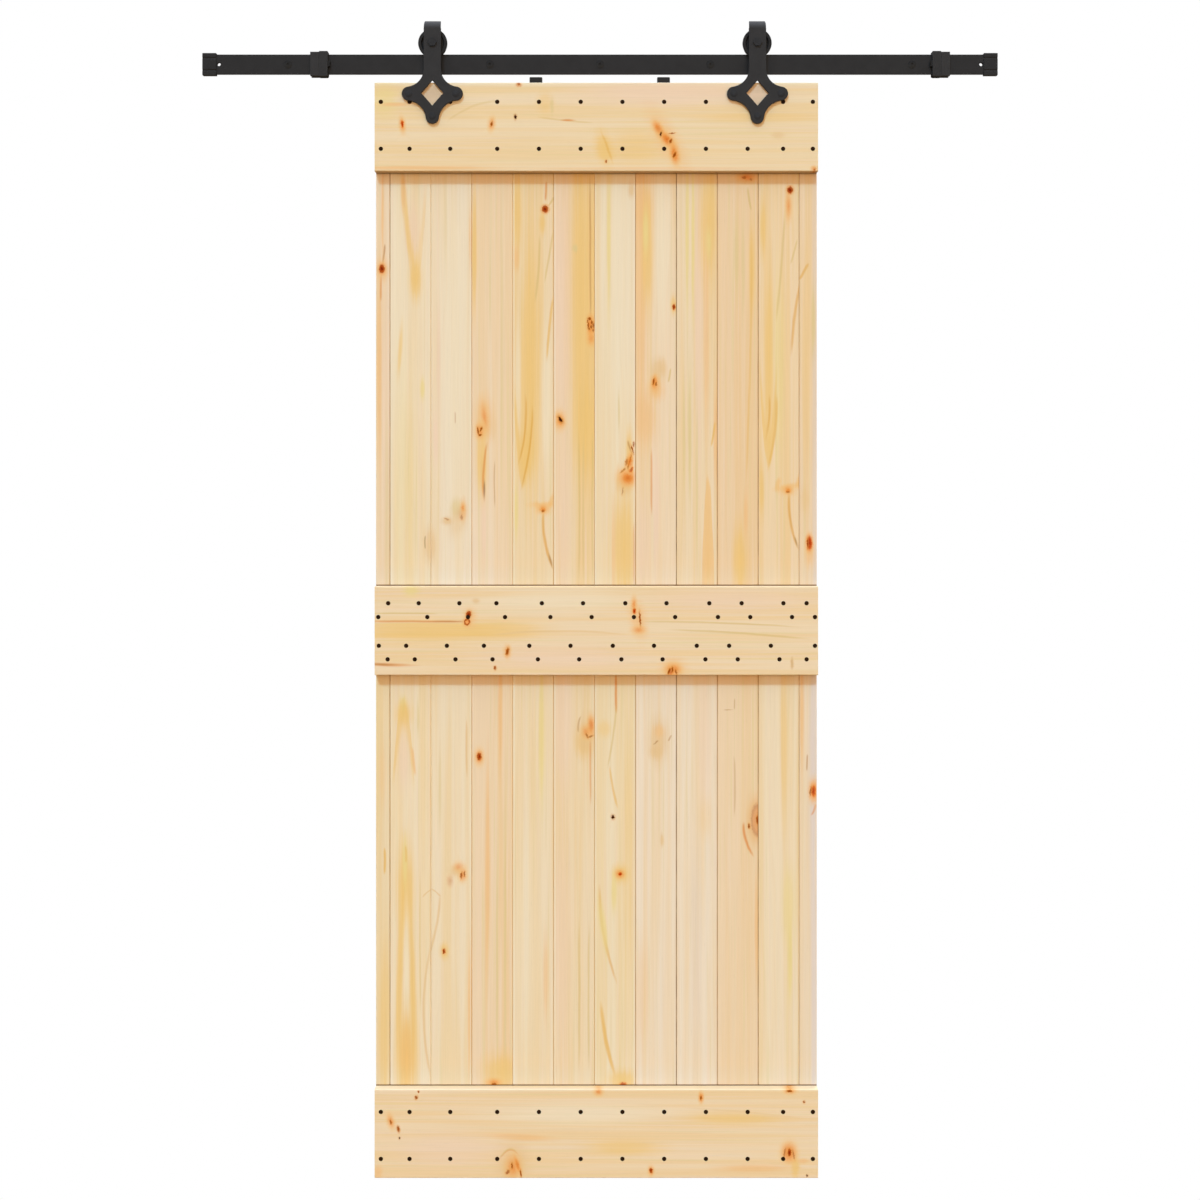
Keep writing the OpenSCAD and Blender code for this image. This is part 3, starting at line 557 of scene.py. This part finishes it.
             ("tan", 624, 486, 5, 7), ("amber", 624, 548, 9, 42), ("orange", 613.5, 550, 1.4, 40, 0, 0.7),
             curve("rust", (634, 525), (634.2, 555), (634, 583), 1.0, 0.7), ("amber", 604.5, 729, 5, 6, 0, 0.6),
             curve("rust", (616, 676), (616, 693), (616.2, 711), 0.9), curve("oliveline", (616, 708), (613, 738), (608, 766), 0.8, 0.8),
             curve("amberline", (609.8, 768), (612.6, 787), (617, 806), 0.9, 0.8), ("amber", 628, 850, 5, 80, 0, 0.4),
             ("amber", 629, 1000, 4, 70, 0, 0.35), ("amber", 620, 874, 6, 7), ("yellow", 614, 892, 2.2, 14),
             curve("goldline", (599.5, 890), (603.6, 938), (614.4, 976), 1.0, 0.8), ("yellow", 603, 925, 2.5, 20, -8),
             curve("amberline", (601, 1005), (605.4, 1040), (613.4, 1070), 1.3), ("amber", 623, 1080, 10, 8),
             curve("brown", (628.4, 441), (630, 448), (632.9, 455), 0.8), ("umber", 634, 443.5, 0.9, 1.4),
             ("flame", 629.6, 459, 2.6, 7, 14, 0.8), ("spot", 626.6, 462, 1.2, 3.4, 12), ("red", 630.3, 471, 2.3, 1.8, 18),
             ("spot", 623, 470.6, 1.0, 3.2, 48), ("blaze", 628, 478, 7.5, 7), ("red", 631.2, 469.6, 1.5, 3.0, 30), ("spot", 628.4, 466, 0.8, 3.2, 6), ("spot", 630.6, 458, 0.7, 4.2, 12),
             ("spot", 632.6, 450, 0.7, 4.6, -18), ("spot", 633.8, 444.5, 0.8, 2.6), ("blaze", 630, 462, 3.2, 6, 10, 0.8), ("spot", 622.5, 491, 0.7, 3.4, 6, 0.55),
             ("black", 613, 817, 1.7, 2.3), ("blaze", 620, 874, 3.8, 3.6), ("red", 620, 874, 1.8, 1.6), ("red", 623, 1084, 3.2, 1.8, 0, 0.8)]),
    dict(pith=210, depth=45, lean=0.012, origin=-800, spacing=6.5, contrast=0.26,
         up=(236, 207, 168), low=(236, 212, 180), marks=[
             ("orange", 641, 290, 4.5, 110, 0, 0.9), ("orange", 643, 205, 7, 20), ("amber", 647.5, 252, 4.4, 44),
             ("yellow", 646, 232, 2.0, 16), ("orange", 645, 418, 9, 22, 0, 0.9), ("cream", 663, 250, 6, 60),
             ("amber", 673.6, 305, 2.4, 7), ("tan", 658, 371, 6, 9), ("tan", 662, 366, 3, 6, 0, 0.7), ("orange", 656, 390, 6, 8),
             curve("oliveline", (670.5, 369), (669.6, 375), (668.4, 382), 0.8), ("pink", 656, 505, 2.4, 45),
             curve("rust", (651.6, 453), (651.5, 482), (651.6, 512), 0.8, 0.75), ("pink", 643, 545, 4, 36, 0, 0.8),
             ("tan", 658.5, 741, 7, 16), ("orange", 659, 731, 4, 5, 0, 0.8), ("tan", 656, 752, 5, 5),
             curve("brown", (657.6, 740.5), (656, 742.5), (653.6, 744.5), 0.8), curve("brown", (671, 735), (670, 738), (668.6, 741), 0.7, 0.8),
             ("tan", 662, 840, 1.6, 5), ("orange", 642, 994, 5, 40, 0, 0.4),
             ("dark", 673.9, 307, 1.4, 2.6), ("flame", 655, 384, 4, 8, 0, 0.8),
             ("blaze", 654.3, 382, 2.4, 5.4, 8), ("spot", 653.6, 381.5, 0.9, 3.4, 8), ("spot", 656, 384, 0.8, 2.2, 0, 0.8)]),
    dict(pith=40, depth=60, lean=0.006, origin=-700, spacing=5.0, contrast=0.24,
         up=(235, 207, 166), low=(236, 212, 179), marks=[
             ("yellow", 687, 235, 1.4, 60), ("yellow", 693, 235, 1.2, 60), ("pink", 698.5, 320, 2.5, 120, 0, 0.9),
             ("amber", 708.5, 222, 6.5, 46), ("yellow", 708, 244, 2.4, 12), ("orange", 706, 330, 2.6, 70, 0, 0.8),
             ("olive", 690, 432, 1.4, 50), ("olive", 684, 440, 1.1, 44, 0, 0.7), ("olive", 697, 480, 1.0, 60, 0, 0.7),
             vee("honey", 708, 472, 6.8, -120, 0.75, 0.9), ("orange", 716, 434, 1.8, 40),
             curve("amberline", (715, 423), (713.4, 434), (711.4, 446), 0.8), ("amber", 705, 817, 5, 15, 0, 0.35),
             ("lilac", 696, 950, 4, 90, 0, 0.35), ("pink", 704, 740, 5, 60, 0, 0.6)]),
    dict(pith=140, depth=50, lean=0.010, origin=-900, spacing=5.5, contrast=0.26,
         up=(234, 200, 156), low=(235, 204, 163), spread=6.0, marks=[
             ("olive", 736, 255, 2, 30, 0, 0.8), ("amber", 752, 270, 2.2, 36), ("olive", 743, 265, 1.4, 40, 0, 0.7),
             curve("oliveline", (747.8, 188), (749, 198), (751.2, 210), 0.8), curve("amberline", (751.5, 240), (750.4, 330), (746.4, 470), 0.8, 0.6),
             ("amber", 740, 561, 5.5, 26), ("orange", 745.5, 515, 1.6, 18),
             curve("brown", (734.6, 699), (734.4, 704), (734.3, 709), 0.5, 0.7), ("brown", 728, 709.6, 3.0, 0.5, 0, 0.7),
             curve("brown", (734.6, 760), (735, 785), (734.6, 812), 0.7, 0.55), ("orange", 756.4, 927, 1.4, 40),
             ("tan", 755, 822, 7, 18), curve("rust", (743.4, 824), (745.6, 840), (751.8, 854), 1.0),
             ("flame", 747, 177, 9, 5), ("spot", 744, 177.5, 2.0, 1.4, 0, 0.6), ("spot", 751, 179.5, 1.5, 1.2, 0, 0.5), ("brick", 757.5, 820, 6.5, 16), ("spot", 749, 826, 1.2, 2.4), ("spot", 757.4, 820, 1.2, 4)]),
    dict(pith=250, depth=60, lean=0.010, origin=-300, spacing=7.0, contrast=0.26,
         up=(236, 204, 158), low=(236, 210, 170), marks=[
             ("amber", 763, 228, 2.2, 22), ("amber", 769, 362, 3.4, 66), ("yellow", 779, 360, 4, 70, 0, 0.7),
             ("orange", 788.6, 205, 2.6, 13), curve("oliveline", (784.4, 216), (781.4, 268), (776.8, 315), 1.0, 0.85),
             curve("goldline", (802, 276), (795, 294), (791.4, 350), 1.1, 0.85), curve("oliveline", (797, 240), (794, 252), (790.6, 264), 0.8, 0.8),
             curve("goldline", (769.6, 398), (769.2, 420), (765.8, 438), 0.8, 0.9), vee("amber", 768.4, 468, 9, 90, 0.9),
             curve("amberline", (776.4, 398), (774.6, 430), (768.6, 467), 1.0), ("amber", 761.6, 490, 1.8, 22),
             ("honey", 788, 487, 9.5, 2.6, -10, 0.85), ("honey", 778, 483, 1.8, 4, 20, 0.7), ("honey", 799, 481, 1.8, 6, 14, 0.8), ("orange", 788, 491, 6, 4),
             curve("goldline", (789.2, 495), (790.4, 517), (796.9, 546), 1.0), ("umber", 796, 541.5, 0.7, 4.4, -18, 0.6),
             ("amber", 783.4, 745, 2.6, 55, 0, 0.6), ("yellow", 788.5, 905, 5, 28, 0, 0.7), ("yellow", 790.4, 962, 1.8, 28),
             ("flame", 788.6, 206, 2.4, 11, 0, 0.7), ("dark", 790, 190, 2.8, 3.3), ("flame", 788, 489.6, 4.0, 3.4),
             ("blaze", 788, 491, 2.6, 2.2, 0, 0.8), ("spot", 788, 492, 1.7, 1.0, 0, 0.75)]),
    dict(pith=470, depth=40, lean=0.010, origin=-900, spacing=6.0, contrast=0.22,
         up=(234, 205, 168), low=(234, 210, 178), marks=[
             ("lilac", 814.6, 400, 1.8, 220, 0, 0.5), ("olive", 813.6, 320, 1.8, 26), ("tan", 805, 500, 3, 10, 0, 0.7),
             ("orange", 801.6, 715, 1.8, 44), ("lilac", 813, 760, 3.4, 90, 0, 0.8), ("lilac", 814, 980, 2.4, 110, 0, 0.7),
             curve("goldline", (807.8, 264), (804, 271), (800, 279), 1.1), ("orange", 809.5, 552, 3.4, 10),
             ("amber", 806, 350, 4, 120, 0, 0.5), curve("brown", (807.4, 755), (807, 762), (806.8, 770), 0.6),
             curve("rust", (815.6, 804), (814.4, 810), (811.6, 815), 0.9, 0.8), ("red", 809.3, 543, 2.9, 7.2), ("spot", 807.6, 543, 0.9, 5.0, 0, 0.8), ("blaze", 813.8, 791, 4.2, 9.5), ("red", 813.4, 791, 2.2, 5.4, 0, 0.8), ("spot", 810.6, 791, 0.8, 5.0, 8, 0.7)]),
]

BATTENS = {
    "top_batten": dict(pith=-60, depth=40, lean=0.012, origin=-520, spacing=8.5, contrast=0.26,
        up=(236, 208, 165), marks=[
            # The two shade marks are painted shade on the wood seen through the hanger plates' windows
            ("shade", 432.3, 92.7, 12, 14), ("shade", 757.5, 92.7, 12, 14), ("cream", 600, 82.5, 420, 2.4),
            ("yellow", 384, 100, 9, 12, 0, 0.8), ("orange", 395, 104.5, 12, 1.4), ("pink", 670, 93, 70, 9),
            ("amber", 636, 146, 20, 13, 0, 0.6), ("amber", 545, 103, 6, 8, 0, 0.6), ("olive", 552, 106, 1.4, 6, 0, 0.8),
            ("orange", 425, 168, 50, 1.6), ("orange", 640, 168.5, 90, 1.4, 0, 0.6), ("amber", 760, 118, 45, 4, 0, 0.5),
            ("tan", 778, 135.5, 5, 2.6, 0, 0.8), ("amber", 604, 148, 6, 13, -12),
            curve("oliveline", (450, 119), (466, 106), (497, 101), 1.0, 0.5),
            curve("oliveline", (541, 117.6), (566, 120.6), (590, 122.4), 0.7, 0.7), ("rust", 568, 120.2, 4.6, 0.8),
            ("amberline", 607, 147, 0.9, 11, -20), ("orange", 668, 141, 8, 24, -30, 0.9),
            ("blaze", 658.5, 129, 3.7, 7.8, -32), ("blaze", 667, 139.5, 4.3, 8.4, -40), ("blaze", 674.6, 154, 3.8, 9, -10),
            ("flame", 402.2, 125, 2.6, 7, -6), ("red", 402.2, 124, 1.4, 3.6, -6), ("flame", 491.6, 124, 3.0, 6, 8), ("spot", 491.6, 124, 1.0, 2.6, 8),
            ("black", 515.4, 117, 1.3, 2.4), ("brick", 518.8, 84.8, 2.4, 1.8), ("spot", 518.8, 84.2, 1.4, 1.1, 0, 0.8), ("black", 660.8, 134, 1.1, 2.4, 10),
            ("spot", 670.8, 141, 1.4, 2.4, 20), ("spot", 674.6, 155, 1.2, 3.0, 20), ("spot", 672, 133.4, 3.0, 0.6, -6, 0.9),
            ("spot", 606, 161.4, 1.0, 1.5), ("flame", 814, 169, 2.8, 2.8), ("spot", 814.4, 169.5, 1.0, 1.6, 0, 0.7)]),
    "middle_batten": dict(pith=-1250, depth=40, lean=0.010, origin=-200, spacing=7.5, contrast=0.28,
        up=(236, 206, 163), late=(230, 190, 126), marks=[
            ("amber", 425, 631, 58, 9), ("amber", 500, 629, 34, 8, 0, 0.7), ("pink", 560, 658, 60, 9, 0, 0.8),
            ("cream", 560, 600, 60, 8, 0, 0.7), ("pink", 730, 600, 60, 8, 0, 0.7), ("yellow", 411, 591, 6, 4),
            ("tan", 476, 601, 3, 2), curve("oliveline", (374, 613.4), (404, 613.2), (434, 613.6), 0.6, 0.9),
            curve("rust", (372, 621.2), (420, 621.4), (466, 621.6), 0.8, 0.85), ("rust", 389, 664.8, 17, 1.2, 1.5, 0.9),
            ("brown", 448, 621.5, 15, 0.7, 0, 0.8), ("brown", 381, 664.5, 10, 0.9, 1.5),
            curve("oliveline", (645, 621.4), (716, 622.8), (790, 626.4), 0.7, 0.85),
            curve("oliveline", (674, 629.8), (736, 633), (803, 638.4), 0.8, 0.85),
            curve("tan", (500, 634), (560, 631), (620, 634), 0.8, 0.7), ("tan", 792, 663, 1.4, 4.4), ("brown", 792, 663, 0.8, 3.8, 0, 0.5),
            ("orange", 470, 618, 5, 7), ("orange", 638, 620, 6, 14, -10), ("orange", 673, 668, 9, 7),
            ("dark", 468.6, 614.5, 2.4, 3.2, 20), ("ring", 467, 622, 3.0, 3.4, 20), ("flame", 507.4, 651.6, 3, 5.5),
            ("spot", 507.4, 651.6, 1.5, 3.8, 12), ("spot", 495, 668, 1.2, 1.9), ("flame", 634, 605, 2.4, 7),
            ("red", 634.4, 611, 1.6, 2.6), ("spot", 640, 619, 0.9, 7, -4), ("flame", 638.7, 630, 6, 3.6, 0, 0.8),
            ("blaze", 673, 669.5, 6.5, 5), ("red", 671, 671, 2.4, 3.4, 15, 0.75), ("spot", 669, 671.5, 1.1, 3.4, 20), ("spot", 672.4, 669.5, 0.8, 2.8), ("spot", 676, 672, 0.9, 2.6, -20, 0.8)]),
    "bottom_batten": dict(pith=-2180, depth=40, lean=0.012, origin=150, spacing=8.0, contrast=0.28,
        up=(236, 205, 162), marks=[
            ("orange", 519, 1137, 22, 2.4, 3), ("amber", 735, 1118, 36, 5, 0, 0.8), ("orange", 754, 1168.5, 26, 2.8),
            ("amber", 625, 1147, 28, 6, 0, 0.8), ("amber", 795.5, 1167, 3.0, 9), ("orange", 803, 1161, 4, 2),
            ("orange", 378, 1173, 3, 5), ("tan", 512.5, 1165, 12, 17), ("pink", 450, 1150, 40, 12, 0, 0.7),
            ("cream", 580, 1115, 60, 9, 0, 0.7), curve("oliveline", (500, 1157), (507, 1149.5), (516, 1151), 0.8, 0.9),
            curve("tan", (690, 1108), (745, 1112), (800, 1118), 0.7, 0.4),
            ("spot", 418.6, 1091.6, 1.0, 1.0), ("spot", 416.2, 1097.6, 1.5, 1.8), ("flame", 390.8, 1121.5, 3.2, 6.5, -15),
            ("spot", 390.8, 1122, 0.9, 2.6, -12, 0.8), ("spot", 398.3, 1129, 1.4, 3.0, -10), ("black", 399.3, 1138, 1.0, 1.2),
            curve("rust", (501, 1157), (509, 1150), (518, 1154), 0.7, 0.6), ("flame", 513, 1167, 7, 11), ("blaze", 517.6, 1165, 2.2, 8, -18, 0.8), ("spot", 512, 1166, 0.8, 3.0), ("spot", 507.6, 1172, 1.5, 2.6, 40, 0.8), ("spot", 520.8, 1173.5, 0.8, 3.8, -8),
            ("flame", 598.5, 1092, 4, 3.4), ("blaze", 701, 1097.5, 2.2, 4.6), ("spot", 701, 1098, 0.9, 2.2), ("flame", 651, 1170.5, 2.6, 4.4), ("dark", 651, 1170.6, 1.5, 2.4),
            ("flame", 790, 1091, 5.5, 2.8), ("spot", 789.5, 1091, 2.6, 1.3), ("spot", 804, 1102, 1.1, 1.2),
            ("blaze", 789, 1152.5, 6.5, 8.6), ("spot", 784.6, 1152.5, 0.8, 4.8, 6, 0.55), ("spot", 793.6, 1154.5, 0.8, 4.8, -12, 0.55), ("dark", 789.4, 1152.5, 1.7, 3.6), ("black", 807, 1175.5, 1.1, 1.2)]),
}

# Joints between the boards, left to right: line colour (the dark ones partly grime
# and partly painted shade in the groove, the pale ones painted light over its
# shading), its strength, the side (-1 left, 1 right) of a painted highlight on one
# arris, and how bright that is.
FIRST_JOINT, PITCH = -405.0, 78.9
JOINTS = [
    ((140, 96, 40), 0.45, 1, 0.3), ((252, 238, 208), 0.60, 0, 0), ((150, 106, 48), 0.05, -1, 0.5),
    ((252, 232, 190), 0.45, 1, 0.6), ((160, 120, 60), 0.0, 1, 0.6), ((252, 228, 176), 0.25, 1, 0.3),
    ((158, 100, 44), 0.25, -1, 0.5), ((110, 60, 14), 0.60, 0, 0), ((150, 88, 34), 0.42, 0, 0),
    ((146, 84, 32), 0.52, 0, 0), ((150, 92, 40), 0.22, 0, 0),
]
MIDDLE_TOP, BOTTOM_TOP = -1003.5, -1967.5
TOP_UNDERSIDE, MIDDLE_UNDERSIDE = -207.5, -1173.5


def paint(node, mat):
    me = NODES[node].data
    me.materials.clear()
    me.materials.append(mat)


for i, spec in enumerate(BOARDS, 1):
    name = f"board_{i:02d}"
    near = [(FIRST_JOINT + PITCH * j, *JOINTS[j]) for j in (i - 2, i - 1) if 0 <= j < len(JOINTS)]
    paint(name, pine(name, "Z", BOARD_PLANE, seed=float(i), joints=near, painted_shading_above_battens=(MIDDLE_TOP, BOTTOM_TOP),
                     painted_shade_below_battens=((TOP_UNDERSIDE, 0.64), (MIDDLE_UNDERSIDE, 0.40)), **spec))
for i, (name, spec) in enumerate(BATTENS.items(), 21):
    paint(name, pine(name, "X", BATTEN_PLANE, seed=float(i), **spec))


# ---------------------------------------------------------------------------
# Metal, nylon and rubber
# ---------------------------------------------------------------------------
def coated(name, dark, light, rough, grain_mm, grain, specular, noses=(), painted_counter_shade=()):
    """Powder coat or moulded skin: a fine even grain, slightly uneven in tone.
    noses: stretches along X, in mm, where the skin is painted darker. painted_counter_shade: two
    heights, in mm, between which the coat goes from light to dark: painted counter-shading, lighter low down and darker
    high up, against how the lamps shade a dome."""
    g = Graph(name)
    p = g.vec("SCALE", g.coord, 1000.0)
    cloud = g.noise(p, scale=0.05, detail=3, rough=0.55)
    fine = g.noise(p, scale=1.0 / grain_mm, detail=2, rough=0.6)
    tone = g.remap(g.math("ADD", g.math("MULTIPLY", cloud, 0.6), g.math("MULTIPLY", fine, 0.4)), 0.3, 0.7)
    # Painted counter-shading: lighter low down and darker high up, against how the light falls on the piece
    if painted_counter_shade:
        tone = g.remap(g.split(p)[2], painted_counter_shade[0], painted_counter_shade[1], 1.0, 0.0)
    colour = g.mix(tone, lin(*dark), lin(*light))
    for x0, x1 in noses:
        x = g.split(p)[0]
        nose_dark = g.math("MULTIPLY", g.remap(x, x0 - 0.3, x0 + 0.3, 0.0, 0.8), g.remap(x, x1 - 0.3, x1 + 0.3, 1.0, 0.0))
        colour = g.mix(nose_dark, colour, lin(10, 10, 10))
    g.set("Base Color", colour)
    g.set("Roughness", g.remap(fine, 0.3, 0.7, rough - 0.06, rough + 0.06, "LINEAR"))
    g.bsdf.inputs["Specular IOR Level"].default_value = specular
    g.bump(fine, grain, 0.00006)
    return g.mat


def plated(name, dark, light, rough):
    """Bare or zinc-plated steel with a faint cloudy bloom."""
    g = Graph(name)
    p = g.vec("SCALE", g.coord, 1000.0)
    cloud = g.noise(p, scale=0.35, detail=4, rough=0.6)
    fine = g.noise(g.vec("MULTIPLY", p, (2.5, 2.5, 0.6)), detail=2)
    g.set("Base Color", g.mix(g.remap(cloud, 0.3, 0.7), lin(*dark), lin(*light)))
    g.bsdf.inputs["Metallic"].default_value = 1.0
    g.set("Roughness", g.remap(g.math("ADD", cloud, g.math("MULTIPLY", fine, 0.5)), 0.4, 1.1, rough - 0.08, rough + 0.10, "LINEAR"))
    g.bump(fine, 0.12, 0.00004)
    return g.mat


BLACK_STEEL = coated("black_steel", (33, 33, 34.5), (39, 39, 40.5), 0.52, 0.8, 0.18, 0.5)
# A darker copy of the black steel: painted shade on the rail and its spacers
RAIL_STEEL_PAINTED_SHADE = coated("rail_steel_painted_shade", (25, 25, 26.5), (31, 31, 32.5), 0.52, 0.8, 0.18, 0.5)
# A lighter copy of the black steel: painted light on the stop clamps
STOP_STEEL_PAINTED_LIGHT = coated("stop_steel_painted_light", (36, 36, 37), (41, 41, 42), 0.56, 0.8, 0.18, 0.5)
BLACK_BOLT = coated("black_bolt", (43, 43, 44.5), (49, 49, 50.5), 0.80, 0.8, 0.10, 0.25)
# The wall bolt heads get painted counter-shading, darker at the top and lighter at the bottom
WALL_BOLT = coated("wall_bolt", (31, 30, 30), (47, 47, 47), 0.80, 0.8, 0.10, 0.25, painted_counter_shade=(-5.5, 5.5))
BLACK_NYLON = coated("black_nylon", (26, 26, 27), (32, 32, 33), 0.50, 1.2, 0.12, 0.45)
WHEEL_NYLON = coated("wheel_nylon", (26, 26, 27), (32, 32, 33), 0.55, 1.2, 0.12, 0.38)
# The bumper noses are painted darker
BLACK_RUBBER = coated("black_rubber", (36, 36, 37), (41, 41, 42), 0.62, 0.6, 0.20, 0.45,
                      noses=((-522.6, -510.0), (626.0, 638.1)))
BLACK_SCREW = coated("black_screw", (34, 14, 0), (50, 26, 4), 0.60, 0.5, 0.20, 0.2)
ZINC_STEEL = plated("zinc_steel", (168, 170, 172), (198, 200, 203), 0.34)
BEARING_STEEL = plated("bearing_steel", (176, 178, 181), (205, 206, 208), 0.20)

for node in ("hanger_strap_left", "hanger_strap_right"):
    paint(node, BLACK_STEEL)
for node in ("rail_bar", "wall_spacer_1", "wall_spacer_2", "wall_spacer_3", "wall_spacer_4", "wall_spacer_5"):
    paint(node, RAIL_STEEL_PAINTED_SHADE)
for node in ("stop_clamp_left", "stop_clamp_right"):
    paint(node, STOP_STEEL_PAINTED_LIGHT)
for node in ("hanger_bolts", "axle_bolts", "axle_nuts"):
    paint(node, BLACK_BOLT)
paint("wall_bolts", WALL_BOLT)
for node in ("end_cap_left", "end_cap_right", "anti_jump_disc_left", "anti_jump_disc_right"):
    paint(node, BLACK_NYLON)
for node in ("wheel_left", "wheel_right"):
    paint(node, WHEEL_NYLON)
for node in ("stop_bumper_left", "stop_bumper_right"):
    paint(node, BLACK_RUBBER)
for node in ("top_batten_screws", "middle_batten_screws", "bottom_batten_screws", "anti_jump_screws", "stop_screws"):
    paint(node, BLACK_SCREW)
for node in ("hanger_washers", "hanger_nuts", "axle_spacers"):
    paint(node, ZINC_STEEL)
for side in ("left", "right"):
    for node in ("bearing_outer_", "bearing_balls_", "bearing_inner_"):
        paint(node + side, BEARING_STEEL)


# ---------------------------------------------------------------------------
# Softened edges on the steel and moulded pieces
# ---------------------------------------------------------------------------
def soften(node, width_mm, segments=2, angle=35):
    ob = NODES[node]
    weld = ob.modifiers.new("weld", "WELD")
    weld.merge_threshold = 2e-6
    flat = ob.modifiers.new("flat", "DECIMATE")
    flat.decimate_type = "DISSOLVE"
    flat.angle_limit = math.radians(0.4)
    edge = ob.modifiers.new("edge", "BEVEL")
    edge.width = width_mm / 1000
    edge.segments = segments
    edge.limit_method = "ANGLE"
    edge.angle_limit = math.radians(angle)
    edge.use_clamp_overlap = False
    edge.harden_normals = False
    even = ob.modifiers.new("even", "WEIGHTED_NORMAL")
    even.keep_sharp = False
    for poly in ob.data.polygons:
        poly.use_smooth = True


for node in ("hanger_strap_left", "hanger_strap_right", "rail_bar"):
    soften(node, 0.7)
for node in ("stop_clamp_left", "stop_clamp_right", "stop_bumper_left", "stop_bumper_right"):
    soften(node, 0.4)
for node in ("end_cap_left", "end_cap_right"):
    soften(node, 0.5)


# ---------------------------------------------------------------------------
# Floor
# ---------------------------------------------------------------------------
def floor():
    me = bpy.data.meshes.new("floor")
    b = bmesh.new()
    z = CAD_BOX[0].z - 0.010
    b.faces.new([b.verts.new((x, y, z)) for x, y in ((-9, -9), (9, -9), (9, 9), (-9, 9))])
    b.to_mesh(me)
    b.free()
    ob = bpy.data.objects.new("floor", me)
    mat = bpy.data.materials.new("floor")
    mat.use_nodes = True
    nt = mat.node_tree
    nt.nodes.clear()
    out = nt.nodes.new("ShaderNodeOutputMaterial")
    glow = nt.nodes.new("ShaderNodeEmission")
    clear = nt.nodes.new("ShaderNodeBsdfTransparent")
    geo = nt.nodes.new("ShaderNodeNewGeometry")
    mix = nt.nodes.new("ShaderNodeMixShader")
    glow.inputs["Color"].default_value = (1, 1, 1, 1)
    glow.inputs["Strength"].default_value = 1.0
    nt.links.new(geo.outputs["Backfacing"], mix.inputs[0])
    nt.links.new(glow.outputs[0], mix.inputs[1])
    nt.links.new(clear.outputs[0], mix.inputs[2])
    nt.links.new(mix.outputs[0], out.inputs["Surface"])
    me.materials.append(mat)
    ob.visible_diffuse = False
    ob.visible_glossy = False
    ob.visible_shadow = False
    scene.collection.objects.link(ob)
    return ob


floor()
